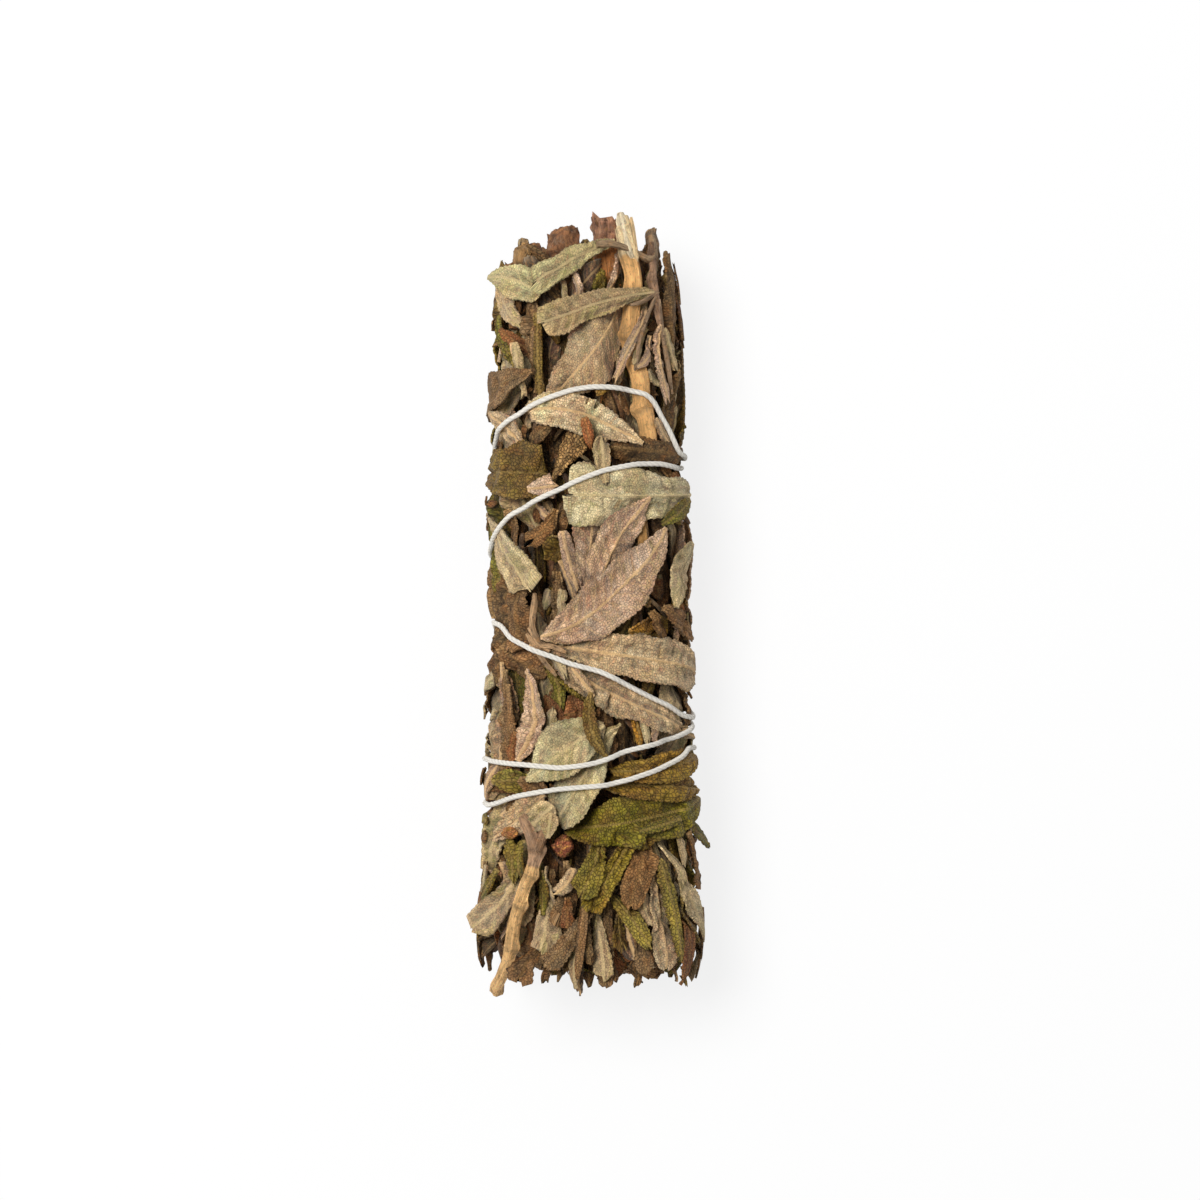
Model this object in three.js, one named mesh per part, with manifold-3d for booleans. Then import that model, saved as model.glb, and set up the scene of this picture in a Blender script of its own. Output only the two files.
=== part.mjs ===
// Black sage smudge stick: cut sage stems and leaves, laid side by side into a roll and wound with string.
//
// The roll lies on its side. Its spine runs along Y, the cut stem ends point to +Y and the leafy end to -Y.
// A place on the roll is given as [around, along]: around is the angle about the spine in degrees, 0 on the
// top line and 90 on the +X side, and along is the distance from mid-length along the spine in mm.
//
// The roll is built as it is made by hand: stems in the middle first, then leaf after leaf laid on what is
// already there, and the string last. A height map keeps how far the pile reaches out from the spine, so that
// each new piece rests on the ones below it with a fine gap.

import * as THREE from 'three';
import { mergeVertices } from 'three/addons/utils/BufferGeometryUtils.js';
import Module from 'manifold-3d';

const wasm = await Module();
wasm.setup();

// ---- Driving dimensions, mm ----------------------------------------------------------------------------
const HALF_WIDTHS = [              // [along, half-width of the roll there]
  [-56, 15.5], [-44, 15.6], [-34, 15.0], [-22, 15.0], [-13, 14.6],
  [-2, 14.0], [14, 14.4], [28, 14.1], [40, 13.4], [48, 12.6], [56, 12.2],
];
const FLATNESS = 0.82;             // height of the roll's section over its width, above the spine
const UNDER_HEIGHT = 12.2;         // from the spine down to the level underside
const SQUARENESS = 2.3;            // power of the section's outline; 2 would be an ellipse
const WRAP_DEPTH = 2.5;            // the wrapping leaves fill about this depth under the outside
const WRAP_LEAN = 0.36;            // share by which that depth is more on the top and less underneath
const BELLIES = [                  // [middle, half-length] of what it lies on, between the windings
  [37, 11], [8, 9], [-41, 12],
];
const BELLY_SAG = 1.95;            // how far a belly hangs out of the outline
const CORE_ENDS = [-46, 44];       // the leaves packed round the stems reach from here to here
const LEAF_THICK = 0.35;
const CLEARANCE = 0.3;             // between a piece and what it lies on
const UNROLL_RADIUS = 13.2;        // turns a distance round the roll into an angle
const ARC_PER_DEGREE = (UNROLL_RADIUS * Math.PI) / 180;
const CORD_RADIUS = 0.365;
const CORD_STEP = 8;               // degrees about the spine from one point of the cord to the next

// ---- Colours -------------------------------------------------------------------------------------------
const COLOURS = {
  greyLeaf: 0xa39a82, tanLeaf: 0xa8967a, pinkLeaf: 0x9c8676, paleLeaf: 0xb5ab90, greenLeaf: 0x6f6c35,
  oliveLeaf: 0x7c7340, goldLeaf: 0x8f7336, brownLeaf: 0x6b5238, darkLeaf: 0x4c4430,
  bark: 0x8a6f52, darkBark: 0x5f4631, tanBark: 0xb98f58, paleWood: 0xcfae7c, cotton: 0xe9e5dd,
};

function material(colour) {
  return new THREE.MeshStandardMaterial({ color: COLOURS[colour], roughness: 0.9, metalness: 0 });
}

// ---- The roll's outline --------------------------------------------------------------------------------
function halfWidth(along) {
  const last = HALF_WIDTHS.length - 1;
  const k = HALF_WIDTHS.findIndex(([place]) => place > along);
  if (k === 0) return HALF_WIDTHS[0][1];
  if (k < 0) return HALF_WIDTHS[last][1];
  const [fromPlace, fromWidth] = HALF_WIDTHS[k - 1];
  const [toPlace, toWidth] = HALF_WIDTHS[k];
  return fromWidth + ((toWidth - fromWidth) * (along - fromPlace)) / (toPlace - fromPlace);
}

// Distance from the spine to the core that the wrapping leaves lie on.
function coreRadius(around, along) {
  const angle = THREE.MathUtils.degToRad(around);
  const depth = WRAP_DEPTH * (1 + WRAP_LEAN * Math.cos(angle));
  const wide = halfWidth(along) - depth;
  const high = (Math.cos(angle) > 0 ? halfWidth(along) * FLATNESS : UNDER_HEIGHT) - depth;
  const sum = Math.abs(Math.sin(angle) / wide) ** SQUARENESS + Math.abs(Math.cos(angle) / high) ** SQUARENESS;
  return sum ** (-1 / SQUARENESS);
}

// The leaves sag between the windings on the underside, and the string runs in the hollows between.
function belly(around, along) {
  const below = Math.max(0, -Math.cos(THREE.MathUtils.degToRad(around))) ** 4;
  const sags = BELLIES.map(([middle, half]) => Math.min(1, Math.abs(along - middle) / half));
  return BELLY_SAG * below * sags.reduce((sum, away) => sum + Math.cos((away * Math.PI) / 2) ** 2, 0);
}

function onRoll(around, along, radius) {
  const angle = THREE.MathUtils.degToRad(around);
  return new THREE.Vector3(radius * Math.sin(angle), along, radius * Math.cos(angle));
}

// ---- The height map ------------------------------------------------------------------------------------
const CELL_ANGLE = 2.5;            // degrees
const CELL_LENGTH = 0.6;           // mm
const CELLS_ROUND = 360 / CELL_ANGLE;
const MAP_START = -62;
const CELLS_LONG = Math.round((-2 * MAP_START) / CELL_LENGTH);
const heights = new Float64Array(CELLS_ROUND * CELLS_LONG);

function cellAt(around, along) {
  const column = ((Math.round(around / CELL_ANGLE) % CELLS_ROUND) + CELLS_ROUND) % CELLS_ROUND;
  const row = THREE.MathUtils.clamp(Math.round((along - MAP_START) / CELL_LENGTH), 0, CELLS_LONG - 1);
  return row * CELLS_ROUND + column;
}

for (let row = 0; row < CELLS_LONG; row += 1) {
  for (let column = 0; column < CELLS_ROUND; column += 1) {
    const along = MAP_START + row * CELL_LENGTH;
    const around = column * CELL_ANGLE;
    heights[row * CELLS_ROUND + column] = coreRadius(around, along) + belly(around, along);
  }
}

// The same small steps about a place, for reading the map and for writing it.
function* nearby(around, along, reach) {
  const angleReach = reach / ARC_PER_DEGREE;
  for (let da = -angleReach; da <= angleReach; da += CELL_ANGLE) {
    for (let dy = -reach; dy <= reach; dy += CELL_LENGTH) yield cellAt(around + da, along + dy);
  }
}

function highest(around, along, reach) {
  let top = 0;
  for (const cell of nearby(around, along, reach)) top = Math.max(top, heights[cell]);
  return top;
}

function raise(around, along, reach, top) {
  for (const cell of nearby(around, along, reach)) heights[cell] = Math.max(heights[cell], top);
}

// ---- Leaves --------------------------------------------------------------------------------------------
// Half-width along a leaf, from 0 at the base to 1 at the tip: t^p (1 - t)^q, scaled to 1 at its widest.
const LEAF_FORMS = {
  lance: [0.75, 0.85],             // widest in the middle, pointed at both ends
  ovate: [0.45, 0.8],              // widest near the base
  spoon: [0.9, 0.35],              // widest near a blunt tip
  strap: [0.3, 0.4],               // narrow, with nearly parallel sides
};
const LEAF_STATION = 2.9;          // length of one strip along a leaf
const LEAF_STRIP = 2.4;            // width of one strip across it
const LEAF_REACH = 2.0;            // how far round each of its corners a leaf feels for what lies below
const BLUNT_END = 0.35;            // half-width left at base and tip

function leafHalfWidth([p, q], t, width) {
  const widest = p / (p + q);
  const scale = widest ** p * (1 - widest) ** q;
  return Math.max(BLUNT_END, ((width / 2) * t ** p * (1 - t) ** q) / scale);
}

// Place on the unrolled roll at t along the leaf and side (-1 to 1) across it.
function leafPlace(leaf, t, side) {
  const { base, tip, width, bow, form } = leaf;
  const start = new THREE.Vector2(base[0] * ARC_PER_DEGREE, base[1]);
  const run = new THREE.Vector2(tip[0] * ARC_PER_DEGREE, tip[1]).sub(start);
  const left = new THREE.Vector2(-run.y, run.x).normalize();
  const heading = run.clone().addScaledVector(left, 4 * bow * (1 - 2 * t)).normalize();
  const across = new THREE.Vector2(-heading.y, heading.x);
  const place = start.addScaledVector(run, t).addScaledVector(left, 4 * bow * t * (1 - t));
  place.addScaledVector(across, side * leafHalfWidth(LEAF_FORMS[form], t, width));
  return [place.x / ARC_PER_DEGREE, place.y];
}

// A leaf is a thin box, bent over the pile: its underside rests on the highest point near each corner.
function layLeaf(leaf) {
  const length = Math.hypot(leaf.tip[1] - leaf.base[1], (leaf.tip[0] - leaf.base[0]) * ARC_PER_DEGREE);
  const stations = Math.max(4, Math.round(length / LEAF_STATION));
  const strips = Math.max(2, Math.round(leaf.width / LEAF_STRIP));
  const rest = [];
  for (let i = 0; i <= stations; i += 1) {
    rest.push([]);
    for (let j = 0; j <= strips; j += 1) {
      const [around, along] = leafPlace(leaf, i / stations, (2 * j) / strips - 1);
      rest[i].push(highest(around, along, LEAF_REACH) + CLEARANCE);
    }
  }

  const geometry = new THREE.BoxGeometry(1, 1, 1, stations, strips, 1);
  const corners = geometry.attributes.position;
  for (let k = 0; k < corners.count; k += 1) {
    const t = corners.getX(k) + 0.5;
    const side = 2 * corners.getY(k);
    const i = Math.round(t * stations);
    const j = Math.round(((side + 1) / 2) * strips);
    const [around, along] = leafPlace(leaf, t, side);
    const point = onRoll(around, along, rest[i][j] + (corners.getZ(k) > 0 ? LEAF_THICK : 0));
    corners.setXYZ(k, point.x, point.y, point.z);
  }

  const fine = 6;                  // map samples in each strip
  for (let a = 0; a <= stations * fine; a += 1) {
    for (let b = 0; b <= strips * fine; b += 1) {
      const i = Math.min(Math.floor(a / fine), stations - 1);
      const j = Math.min(Math.floor(b / fine), strips - 1);
      const u = a / fine - i;
      const v = b / fine - j;
      const near = rest[i][j] * (1 - v) + rest[i][j + 1] * v;
      const far = rest[i + 1][j] * (1 - v) + rest[i + 1][j + 1] * v;
      const side = (2 * b) / (strips * fine) - 1;
      const [around, along] = leafPlace(leaf, a / (stations * fine), side);
      raise(around, along, CELL_LENGTH, near * (1 - u) + far * u + LEAF_THICK);
    }
  }
  return geometry;
}

// ---- Cords and twigs laid on the pile ------------------------------------------------------------------
// Evenly turned points through a hand-laid route of [around, along] places.
function spreadRoute(route, step) {
  const corners = route.map(([around, along]) => new THREE.Vector3(around, along, 0));
  const curve = new THREE.CatmullRomCurve3(corners, false, 'catmullrom', 0.5);
  const count = Math.max(2, Math.round(curve.getLength() / step));
  return curve.getSpacedPoints(count).map((p) => [p.x, p.y]);
}

// Out from the spine at each point of a taut cord: on the pile where it touches, straight where it doesn't.
function tautHeights(places, radius, reach) {
  const floor = places.map(([a, y]) => highest(a, y, reach) + CLEARANCE + radius);
  const out = [...floor];
  const sweeps = 200;
  for (let sweep = 0; sweep < sweeps; sweep += 1) {
    for (let k = 1; k < out.length - 1; k += 1) {
      const turn = THREE.MathUtils.degToRad((places[k + 1][0] - places[k - 1][0]) / 2);
      out[k] = Math.max(floor[k], ((out[k - 1] + out[k + 1]) / 2) * Math.cos(turn));
    }
  }
  return out;
}

function roundSection(radius, sides) {
  const corners = [];
  for (let k = 0; k < sides; k += 1) {
    const angle = (2 * Math.PI * k) / sides;
    corners.push(new THREE.Vector2(radius * Math.cos(angle), radius * Math.sin(angle)));
  }
  return new THREE.Shape(corners);
}

function layCord({ route, radius, sides, step, reach }) {
  const places = spreadRoute(route, step);
  const out = tautHeights(places, radius, reach);
  const points = places.map(([a, y], k) => onRoll(a, y, out[k]));
  const path = new THREE.CatmullRomCurve3(points, false, 'centripetal');
  places.forEach(([a, y], k) => raise(a, y, radius + CELL_LENGTH, out[k] + radius));
  const section = roundSection(radius, sides);
  return new THREE.ExtrudeGeometry(section, { steps: points.length - 1, extrudePath: path });
}

// ---- Stems and packed leaves in the middle -------------------------------------------------------------
// [name, colour, x and z of its middle line from the spine, radius, cut end, hidden end]
const CUT_STEMS = [
  ['stem_heart', 'bark', 0, 0, 1.6, 47, -44],
  ['stem_tan_stub', 'tanBark', -9, -0.2, 0.8, 51, 6],
  ['stem_round_stub', 'bark', -7.6, 2.6, 0.95, 50, -8],
  ['stem_wide_stub', 'darkBark', -3.8, 4.2, 2.0, 52.3, -20],
  ['stem_split_stub', 'darkBark', 2.2, 4.2, 1.9, 54, 0],
  ['stem_grey_stub', 'bark', 8.6, 1.0, 0.9, 52.3, 10],
  ['stem_low_left', 'bark', -6.6, -3.0, 1.3, 50, -30],
  ['stem_low_mid', 'tanBark', -2.0, -5.6, 1.6, 51, -48],
  ['stem_low_right', 'bark', 4.6, -4.4, 1.5, 52, -36],
];
const STEM_SIDES = 8;

function stemOutline(x, z, radius) {
  const angles = Array.from({ length: STEM_SIDES }, (_, k) => (2 * Math.PI * k) / STEM_SIDES);
  return angles.map((angle) => new THREE.Vector2(x + radius * Math.cos(angle), z + radius * Math.sin(angle)));
}

// Stands an outline drawn in x and z up along the spine, from one place to another.
function alongSpine(shape, from, to, steps) {
  const geometry = new THREE.ExtrudeGeometry(shape, { depth: to - from, steps, bevelEnabled: false });
  return geometry.rotateX(Math.PI / 2).translate(0, to, 0);
}

// The crushed leaves round the stems, as one body with a bore for each stem.
function packedLeaves() {
  const [from, to] = CORE_ENDS;
  const turn = 10;                 // degrees between corners of the outline
  const corners = [];
  for (let around = 0; around < 360; around += turn) {
    const point = onRoll(around, 0, coreRadius(around, 0));
    corners.push(new THREE.Vector2(point.x, point.z));
  }
  const shape = new THREE.Shape(corners);
  for (const [, , x, z, radius] of CUT_STEMS) {
    shape.holes.push(new THREE.Path(stemOutline(x, z, radius + CLEARANCE)));
  }
  const geometry = alongSpine(shape, from, to, 6);
  const points = geometry.attributes.position;
  for (let k = 0; k < points.count; k += 1) {
    const [x, along, z] = [points.getX(k), points.getY(k), points.getZ(k)];
    const around = THREE.MathUtils.radToDeg(Math.atan2(x, z));
    if (Math.hypot(x, z) < 0.98 * coreRadius(around, 0)) continue;
    const point = onRoll(around, along, coreRadius(around, along));
    points.setXYZ(k, point.x, along, point.z);
  }
  return geometry;
}

// ---- Laid twigs ----------------------------------------------------------------------------------------
const SPLIT_STEM = {
  name: 'stem_pale_split', colour: 'paleWood', radius: 1.25, sides: 8, step: 5, reach: 1.2,
  route: [[36, 54], [37, 49.5], [39, 44.5], [40, 38.5], [40, 31.5], [40, 21.5]],
};
const SPRIG = {
  name: 'twig_sprig', colour: 'bark', radius: 0.55, sides: 6, step: 3, reach: 1,
  route: [[57, 50], [54, 48], [54, 46.5], [51, 45], [52, 42], [54, 38.5]],
};
const FOOT_STEM = {
  radius: 0.95, sides: 8, step: 3, reach: 1.2,
  route: [
    [-46, -29.5], [-41, -32], [-36, -33.5], [-38, -36], [-40, -38.5],
    [-44, -42], [-47, -45], [-53, -48], [-61, -51], [-72, -54],
  ],
};
const FOOT_STEM_FORK = {
  radius: 0.75, sides: 8, step: 3, reach: 1.2,
  route: [[-30, -30], [-33, -32], [-36, -34]],
};

function solid(geometry) {
  const bare = geometry.clone().deleteAttribute('normal').deleteAttribute('uv');
  const { attributes, index } = mergeVertices(bare, 1e-4);
  const vertProperties = attributes.position.array;
  const triVerts = new Uint32Array(index.array);
  return new wasm.Manifold(new wasm.Mesh({ numProp: 3, vertProperties, triVerts }));
}

function join(first, second) {
  const { vertProperties, triVerts } = solid(first).add(solid(second)).getMesh();
  const geometry = new THREE.BufferGeometry();
  geometry.setAttribute('position', new THREE.BufferAttribute(vertProperties, 3));
  return geometry.setIndex(new THREE.BufferAttribute(triVerts, 1));
}

// Both branches feel for the pile before either is on it, so that they meet in the fork.
function layForkedStem() {
  const before = heights.slice();
  const fork = layCord(FOOT_STEM_FORK);
  const after = heights.slice();
  heights.set(before);
  const stem = layCord(FOOT_STEM);
  after.forEach((height, cell) => { heights[cell] = Math.max(heights[cell], height); });
  return join(stem, fork);
}

// ---- Leaves, from the inside out -----------------------------------------------------------------------
// [name, colour, form, [around, along] of the base, of the tip, width, bow to the left of base-to-tip]
const UNDER_LEAVES = [
  ['leaf_under_01', 'greyLeaf', 'lance', [112, 44], [134, 12], 9, 0],
  ['leaf_under_02', 'tanLeaf', 'lance', [168, 46], [164, 10], 10, 0],
  ['leaf_under_03', 'greyLeaf', 'spoon', [210, 44], [202, 13], 9, 0],
  ['leaf_under_04', 'oliveLeaf', 'lance', [248, 43], [242, 12], 9, 0],
  ['leaf_under_05', 'pinkLeaf', 'lance', [112, 12], [134, -20], 10, 0],
  ['leaf_under_06', 'greyLeaf', 'lance', [188, 14], [176, -33], 11, 0],
  ['leaf_under_07', 'brownLeaf', 'lance', [240, 10], [226, -24], 10, 0],
  ['leaf_under_08', 'oliveLeaf', 'spoon', [136, -20], [124, -50], 9, 0],
  ['leaf_under_09', 'greyLeaf', 'spoon', [176, -27], [186, -51], 11, 0],
  ['leaf_under_10', 'tanLeaf', 'spoon', [232, -22], [240, -49], 9, 0],
];
const END_LEAVES = [
  ['leaf_end_01', 'greyLeaf', 'spoon', [46, -35], [47, -50], 4.2, 0],
  ['leaf_end_02', 'paleLeaf', 'lance', [56, -37.5], [86, -47], 3.2, 0.3],
  ['leaf_end_03', 'greyLeaf', 'spoon', [-32, -36.5], [-32, -47], 4.4, 0],
  ['leaf_end_04', 'tanLeaf', 'spoon', [1, -40.5], [-26, -50], 3.4, 0],
  ['leaf_end_05', 'goldLeaf', 'spoon', [46, -30.5], [25, -41.5], 4.3, -0.5],
  ['leaf_end_06', 'oliveLeaf', 'spoon', [35, -31], [1, -41.5], 3.9, -0.3],
  ['leaf_end_07', 'greenLeaf', 'spoon', [10, -32], [-6, -39.5], 4.3, 0],
  ['leaf_end_08', 'greyLeaf', 'spoon', [-57, -36], [-78, -45.5], 5.4, 0.5],
];
const LOWER_LEAVES = [
  ['leaf_lower_01', 'pinkLeaf', 'lance', [-47, -21.5], [-47, -9], 3.2, -1.9],
  ['leaf_lower_02', 'tanLeaf', 'lance', [-37, -6.5], [82, -18.5], 5.0, -0.5],
  ['leaf_lower_03', 'tanLeaf', 'spoon', [-42, -5.5], [94, -9.5], 6.8, 0.4],
  ['leaf_lower_04', 'greenLeaf', 'lance', [92, -27], [-20, -31.5], 7.2, 0.6],
  ['leaf_lower_05', 'goldLeaf', 'lance', [88, -26], [17, -25.5], 4.6, -0.4],
  ['leaf_lower_06', 'goldLeaf', 'lance', [88, -20.5], [24, -22.5], 4.4, 0.6],
  ['leaf_lower_07', 'greyLeaf', 'spoon', [14, -15.5], [-21, -29.5], 6.8, -0.4],
  ['leaf_lower_08', 'greyLeaf', 'lance', [5, -15], [-38, -24], 7.6, -0.6],
];
const UPPER_LEAVES = [
  ['leaf_upper_01', 'darkLeaf', 'strap', [72, 49], [63, 32.5], 3.0, 0],
  ['leaf_upper_02', 'greyLeaf', 'lance', [-86, 45.5], [-50, 38], 3.2, 0],
  ['leaf_upper_03', 'oliveLeaf', 'ovate', [-39, 43], [-86, 46], 5.4, -0.8],
  ['leaf_upper_04', 'tanLeaf', 'lance', [33, 42.5], [-30, 28.5], 9.5, 0.8],
  ['leaf_upper_05', 'oliveLeaf', 'spoon', [50, 43], [-33, 38.5], 4.9, -0.6],
  ['leaf_upper_06', 'pinkLeaf', 'strap', [54, 38.5], [56, 28], 1.9, -0.6],
  ['leaf_upper_07', 'greyLeaf', 'spoon', [59, 49], [-40, 45.5], 3.6, 3.0],
  ['leaf_upper_08', 'brownLeaf', 'lance', [-118, 26.5], [-39, 32], 5.4, 0],
  ['leaf_upper_09', 'darkLeaf', 'lance', [71, 32.5], [65, 21.5], 3.4, 0],
];
const MIDDLE_LEAVES = [
  ['leaf_middle_01', 'brownLeaf', 'lance', [-6, 24], [-26, 17], 5.0, 0],
  ['leaf_middle_02', 'tanLeaf', 'lance', [-52, 26.5], [36, 22], 5.6, 1.9],
  ['leaf_middle_03', 'paleLeaf', 'spoon', [-86, 12.5], [-42, 2.5], 5.6, 0.6],
  ['leaf_middle_04', 'darkLeaf', 'spoon', [-112, 18.5], [-37, 18], 7.0, 0],
  ['leaf_middle_05', 'greyLeaf', 'spoon', [104, 15.5], [-15, 15], 9.4, 0.4],
  ['leaf_middle_06', 'pinkLeaf', 'ovate', [-3, 1], [4, 12], 6.4, 0],
  ['leaf_middle_07', 'pinkLeaf', 'ovate', [6, 1.5], [40, 14.5], 7.2, 0.9],
  ['leaf_middle_08', 'pinkLeaf', 'lance', [-33, -4.5], [51, 10.5], 8.0, -2.6],
  ['leaf_middle_09', 'paleLeaf', 'lance', [83, 8.5], [60, -0.5], 5.0, -0.8],
];

// ---- The cotton string ---------------------------------------------------------------------------------
// It starts at a knot low on the +X side, goes five times round the roll and ends at a knot low on -X.
const START_KNOT = [128, -20.9];
const END_KNOT = [2032, 21.8];
const STRING_ROUTE = [
  [133, -22.5], [170, -24.5], [215, -26.8], [260, -28], [287, -28],
  [310, -27.5], [329, -26.5], [347, -25], [366, -24.5], [385, -24], [404, -23], [434, -20.5],
  [470, -20.6], [520, -21.1], [570, -21.7], [610, -22], [634, -22],
  [670, -22.5], [689, -22.5], [707, -22.5], [730, -21.5], [751, -19.5], [771, -19], [796, -18],
  [840, -16.5], [900, -11.5], [960, -6], [995, -3], [1012, -2.5],
  [1034, -5.5], [1054, -7.5], [1073, -9], [1093, -10.5], [1112, -12], [1132, -13.5], [1157, -16],
  [1190, -14.2], [1240, -8], [1300, 1.5], [1345, 7.2], [1362, 8.5],
  [1394, 13.5], [1421, 16.5], [1447, 18], [1471, 19.5], [1488, 19.7], [1510, 19.5],
  [1550, 19.7], [1620, 20.4], [1680, 21.4], [1714, 22],
  [1753, 26.5], [1780, 29], [1807, 30], [1820, 30], [1843, 29], [1858, 26], [1874, 22.8],
  [1910, 21.9], [1960, 22.2], [2022, 23.1],
];
const STRING = {
  name: 'cotton_string', colour: 'cotton', radius: CORD_RADIUS, sides: 8, step: CORD_STEP, reach: 1.1,
  route: STRING_ROUTE,
};
const KNOT_SIZE = [2.4, 1.8, 1.5]; // round the roll, along it, outwards

function knot([around, along]) {
  const [round, long, out] = KNOT_SIZE;
  const geometry = new THREE.SphereGeometry(0.5, 8, 6).scale(round, long, out);
  const radius = highest(around, along, long / 2) + CLEARANCE + out / 2;
  geometry.rotateY(THREE.MathUtils.degToRad(around));
  return geometry.translate(...onRoll(around, along, radius).toArray());
}

// ---- Building the roll ---------------------------------------------------------------------------------
const roll = new THREE.Group();

function add(name, colour, geometry) {
  const mesh = new THREE.Mesh(geometry, material(colour));
  mesh.name = name;
  roll.add(mesh);
}

function addLeaves(rows) {
  for (const [name, colour, form, base, tip, width, bow] of rows) {
    add(name, colour, layLeaf({ form, base, tip, width, bow }));
  }
}

function addCord(cord) {
  add(cord.name, cord.colour, layCord(cord));
}

for (const [name, colour, x, z, radius, cutEnd, hiddenEnd] of CUT_STEMS) {
  add(name, colour, alongSpine(new THREE.Shape(stemOutline(x, z, radius)), hiddenEnd, cutEnd, 1));
}
add('leaf_core', 'brownLeaf', packedLeaves());
addLeaves(UNDER_LEAVES);
addLeaves(END_LEAVES);
addLeaves(LOWER_LEAVES);
addCord(SPLIT_STEM);
addLeaves(UPPER_LEAVES);
addCord(SPRIG);
addLeaves(MIDDLE_LEAVES);
add('stem_long_foot', 'tanBark', layForkedStem());
addCord(STRING);
add('string_knot_start', 'cotton', knot(START_KNOT));
add('string_knot_end', 'cotton', knot(END_KNOT));

// The origin is on the surface that the roll lies on, under the middle of its box.
const extent = new THREE.Box3().setFromObject(roll);
const middle = extent.getCenter(new THREE.Vector3());
roll.position.set(-middle.x, -middle.y, -extent.min.z);

const group = new THREE.Group();
group.add(roll);

export default group;
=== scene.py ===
import math

import bpy
import numpy as np
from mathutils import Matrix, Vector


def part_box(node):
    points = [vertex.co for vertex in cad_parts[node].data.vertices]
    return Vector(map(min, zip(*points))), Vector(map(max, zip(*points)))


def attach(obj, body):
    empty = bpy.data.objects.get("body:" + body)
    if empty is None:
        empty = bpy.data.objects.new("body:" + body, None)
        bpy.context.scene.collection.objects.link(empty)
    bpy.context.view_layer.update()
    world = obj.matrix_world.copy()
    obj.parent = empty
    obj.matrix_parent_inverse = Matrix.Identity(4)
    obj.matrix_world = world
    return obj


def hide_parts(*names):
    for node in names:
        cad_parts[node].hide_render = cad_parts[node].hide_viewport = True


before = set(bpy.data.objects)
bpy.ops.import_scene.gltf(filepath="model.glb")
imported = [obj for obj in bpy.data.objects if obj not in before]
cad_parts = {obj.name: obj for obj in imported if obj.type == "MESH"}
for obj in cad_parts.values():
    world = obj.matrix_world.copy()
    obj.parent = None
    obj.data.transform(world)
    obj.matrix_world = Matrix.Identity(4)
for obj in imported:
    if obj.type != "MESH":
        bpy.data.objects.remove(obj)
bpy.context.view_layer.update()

# ---- The roll ------------------------------------------------------------------------------------------
# Black sage stems and leaves, rolled by hand into a stick and dried. It lies on its side, so it is level
# underneath, and the string pulls it in a little all along its way. Everything else is laid on this form.

# Lengths are in mm. A place on the roll is an angle about the spine in degrees, 0 on the top line and 90 on
# the +X side, and a distance along the spine.
MM = 0.001
HALF_WIDTHS = np.array([            # distance along the spine, half-width of the finished roll there
    (-56, 15.5), (-44, 15.6), (-34, 15.0), (-22, 15.0), (-13, 14.6),
    (-2, 14.0), (14, 14.4), (28, 14.1), (40, 13.4), (48, 12.6), (56, 12.2)])
FLATNESS = 0.82                     # height over width, above the spine
UNDER_HEIGHT = 12.2                 # from the spine down to the level underside
SQUARENESS = 2.3                    # power of the section's outline
WRAP_DEPTH = 2.5                    # mean depth of the leaves wrapped round the core
WRAP_LEAN = 0.36                    # how much deeper that is on the top, and shallower underneath
BELLIES = ((37, 11), (8, 9), (-41, 12))   # middle and half-length of what the roll lies on
BELLY_SAG = 1.95                    # how far it sags there
MEAN_RADIUS = 13.2
ARC = math.radians(MEAN_RADIUS)     # mm round the roll for each degree
HEART_MIDDLE = 1.5                  # the heart stem's middle, along the spine

# The string's way round the roll: angle, growing from turn to turn, and distance along the spine.
STRING_ROUTE = np.array([
    (133, -22.5), (170, -24.5), (215, -26.8), (260, -28), (287, -27.9), (308, -26.6), (323, -25.9),
    (339, -25.3), (356, -25), (373, -24.7), (387, -23.9), (404, -22.7), (421, -21.2), (433, -20),
    (470, -20.2), (520, -20.9), (570, -21.5), (610, -21.7), (640, -21.7), (677, -22), (700, -22.4),
    (713, -22.1), (724, -21.7), (739, -20.6), (753, -19.6), (777, -18.6), (796, -17.4), (840, -15.5),
    (900, -9), (950, -4.9), (980, -3.1), (1000, -2.5), (1012, -2.9), (1018, -3.6), (1024, -4.5),
    (1031, -5.3), (1041, -6.2), (1053, -7.1), (1067, -8.2), (1087, -9.2), (1103, -10.7), (1120, -12.4),
    (1138, -14.1), (1150, -15.5), (1162, -15.9), (1190, -14.2), (1240, -8), (1300, 1.5), (1345, 6.8),
    (1371, 9.7), (1386, 12.3), (1395, 13.4), (1410, 14.8), (1427, 16.5), (1439, 17.5), (1450, 18.3),
    (1460, 18.7), (1473, 19.2), (1490, 19.3), (1508, 18.8), (1550, 19.2), (1620, 19.8), (1680, 20.6),
    (1710, 21.3), (1742, 25.1), (1759, 27.2), (1775, 28.5), (1787, 29.3), (1800, 29.7), (1814, 29.7),
    (1828, 29.4), (1840, 28.8), (1847, 27.6), (1858, 24.4), (1867, 20.9), (1885, 20.3), (1910, 20.6),
    (1960, 21.6), (2022, 23.1)])
STRING_RADIUS = 0.365
STRING_STEP = 0.9                   # degrees
STRING_EVEN = 15                    # steps over which its way is evened out
PINCH = 0.55                        # mm that the string presses into the outermost leaves
PINCH_REACH = 1.5                   # mm to each side of the string
PULL_CELLS = 12                     # cells of the map, each way, over which that is worked out

heart_low, heart_high = (np.array(corner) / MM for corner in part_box("stem_heart"))
SPINE = (heart_low + heart_high) / 2 - (0, HEART_MIDDLE, 0)


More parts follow.
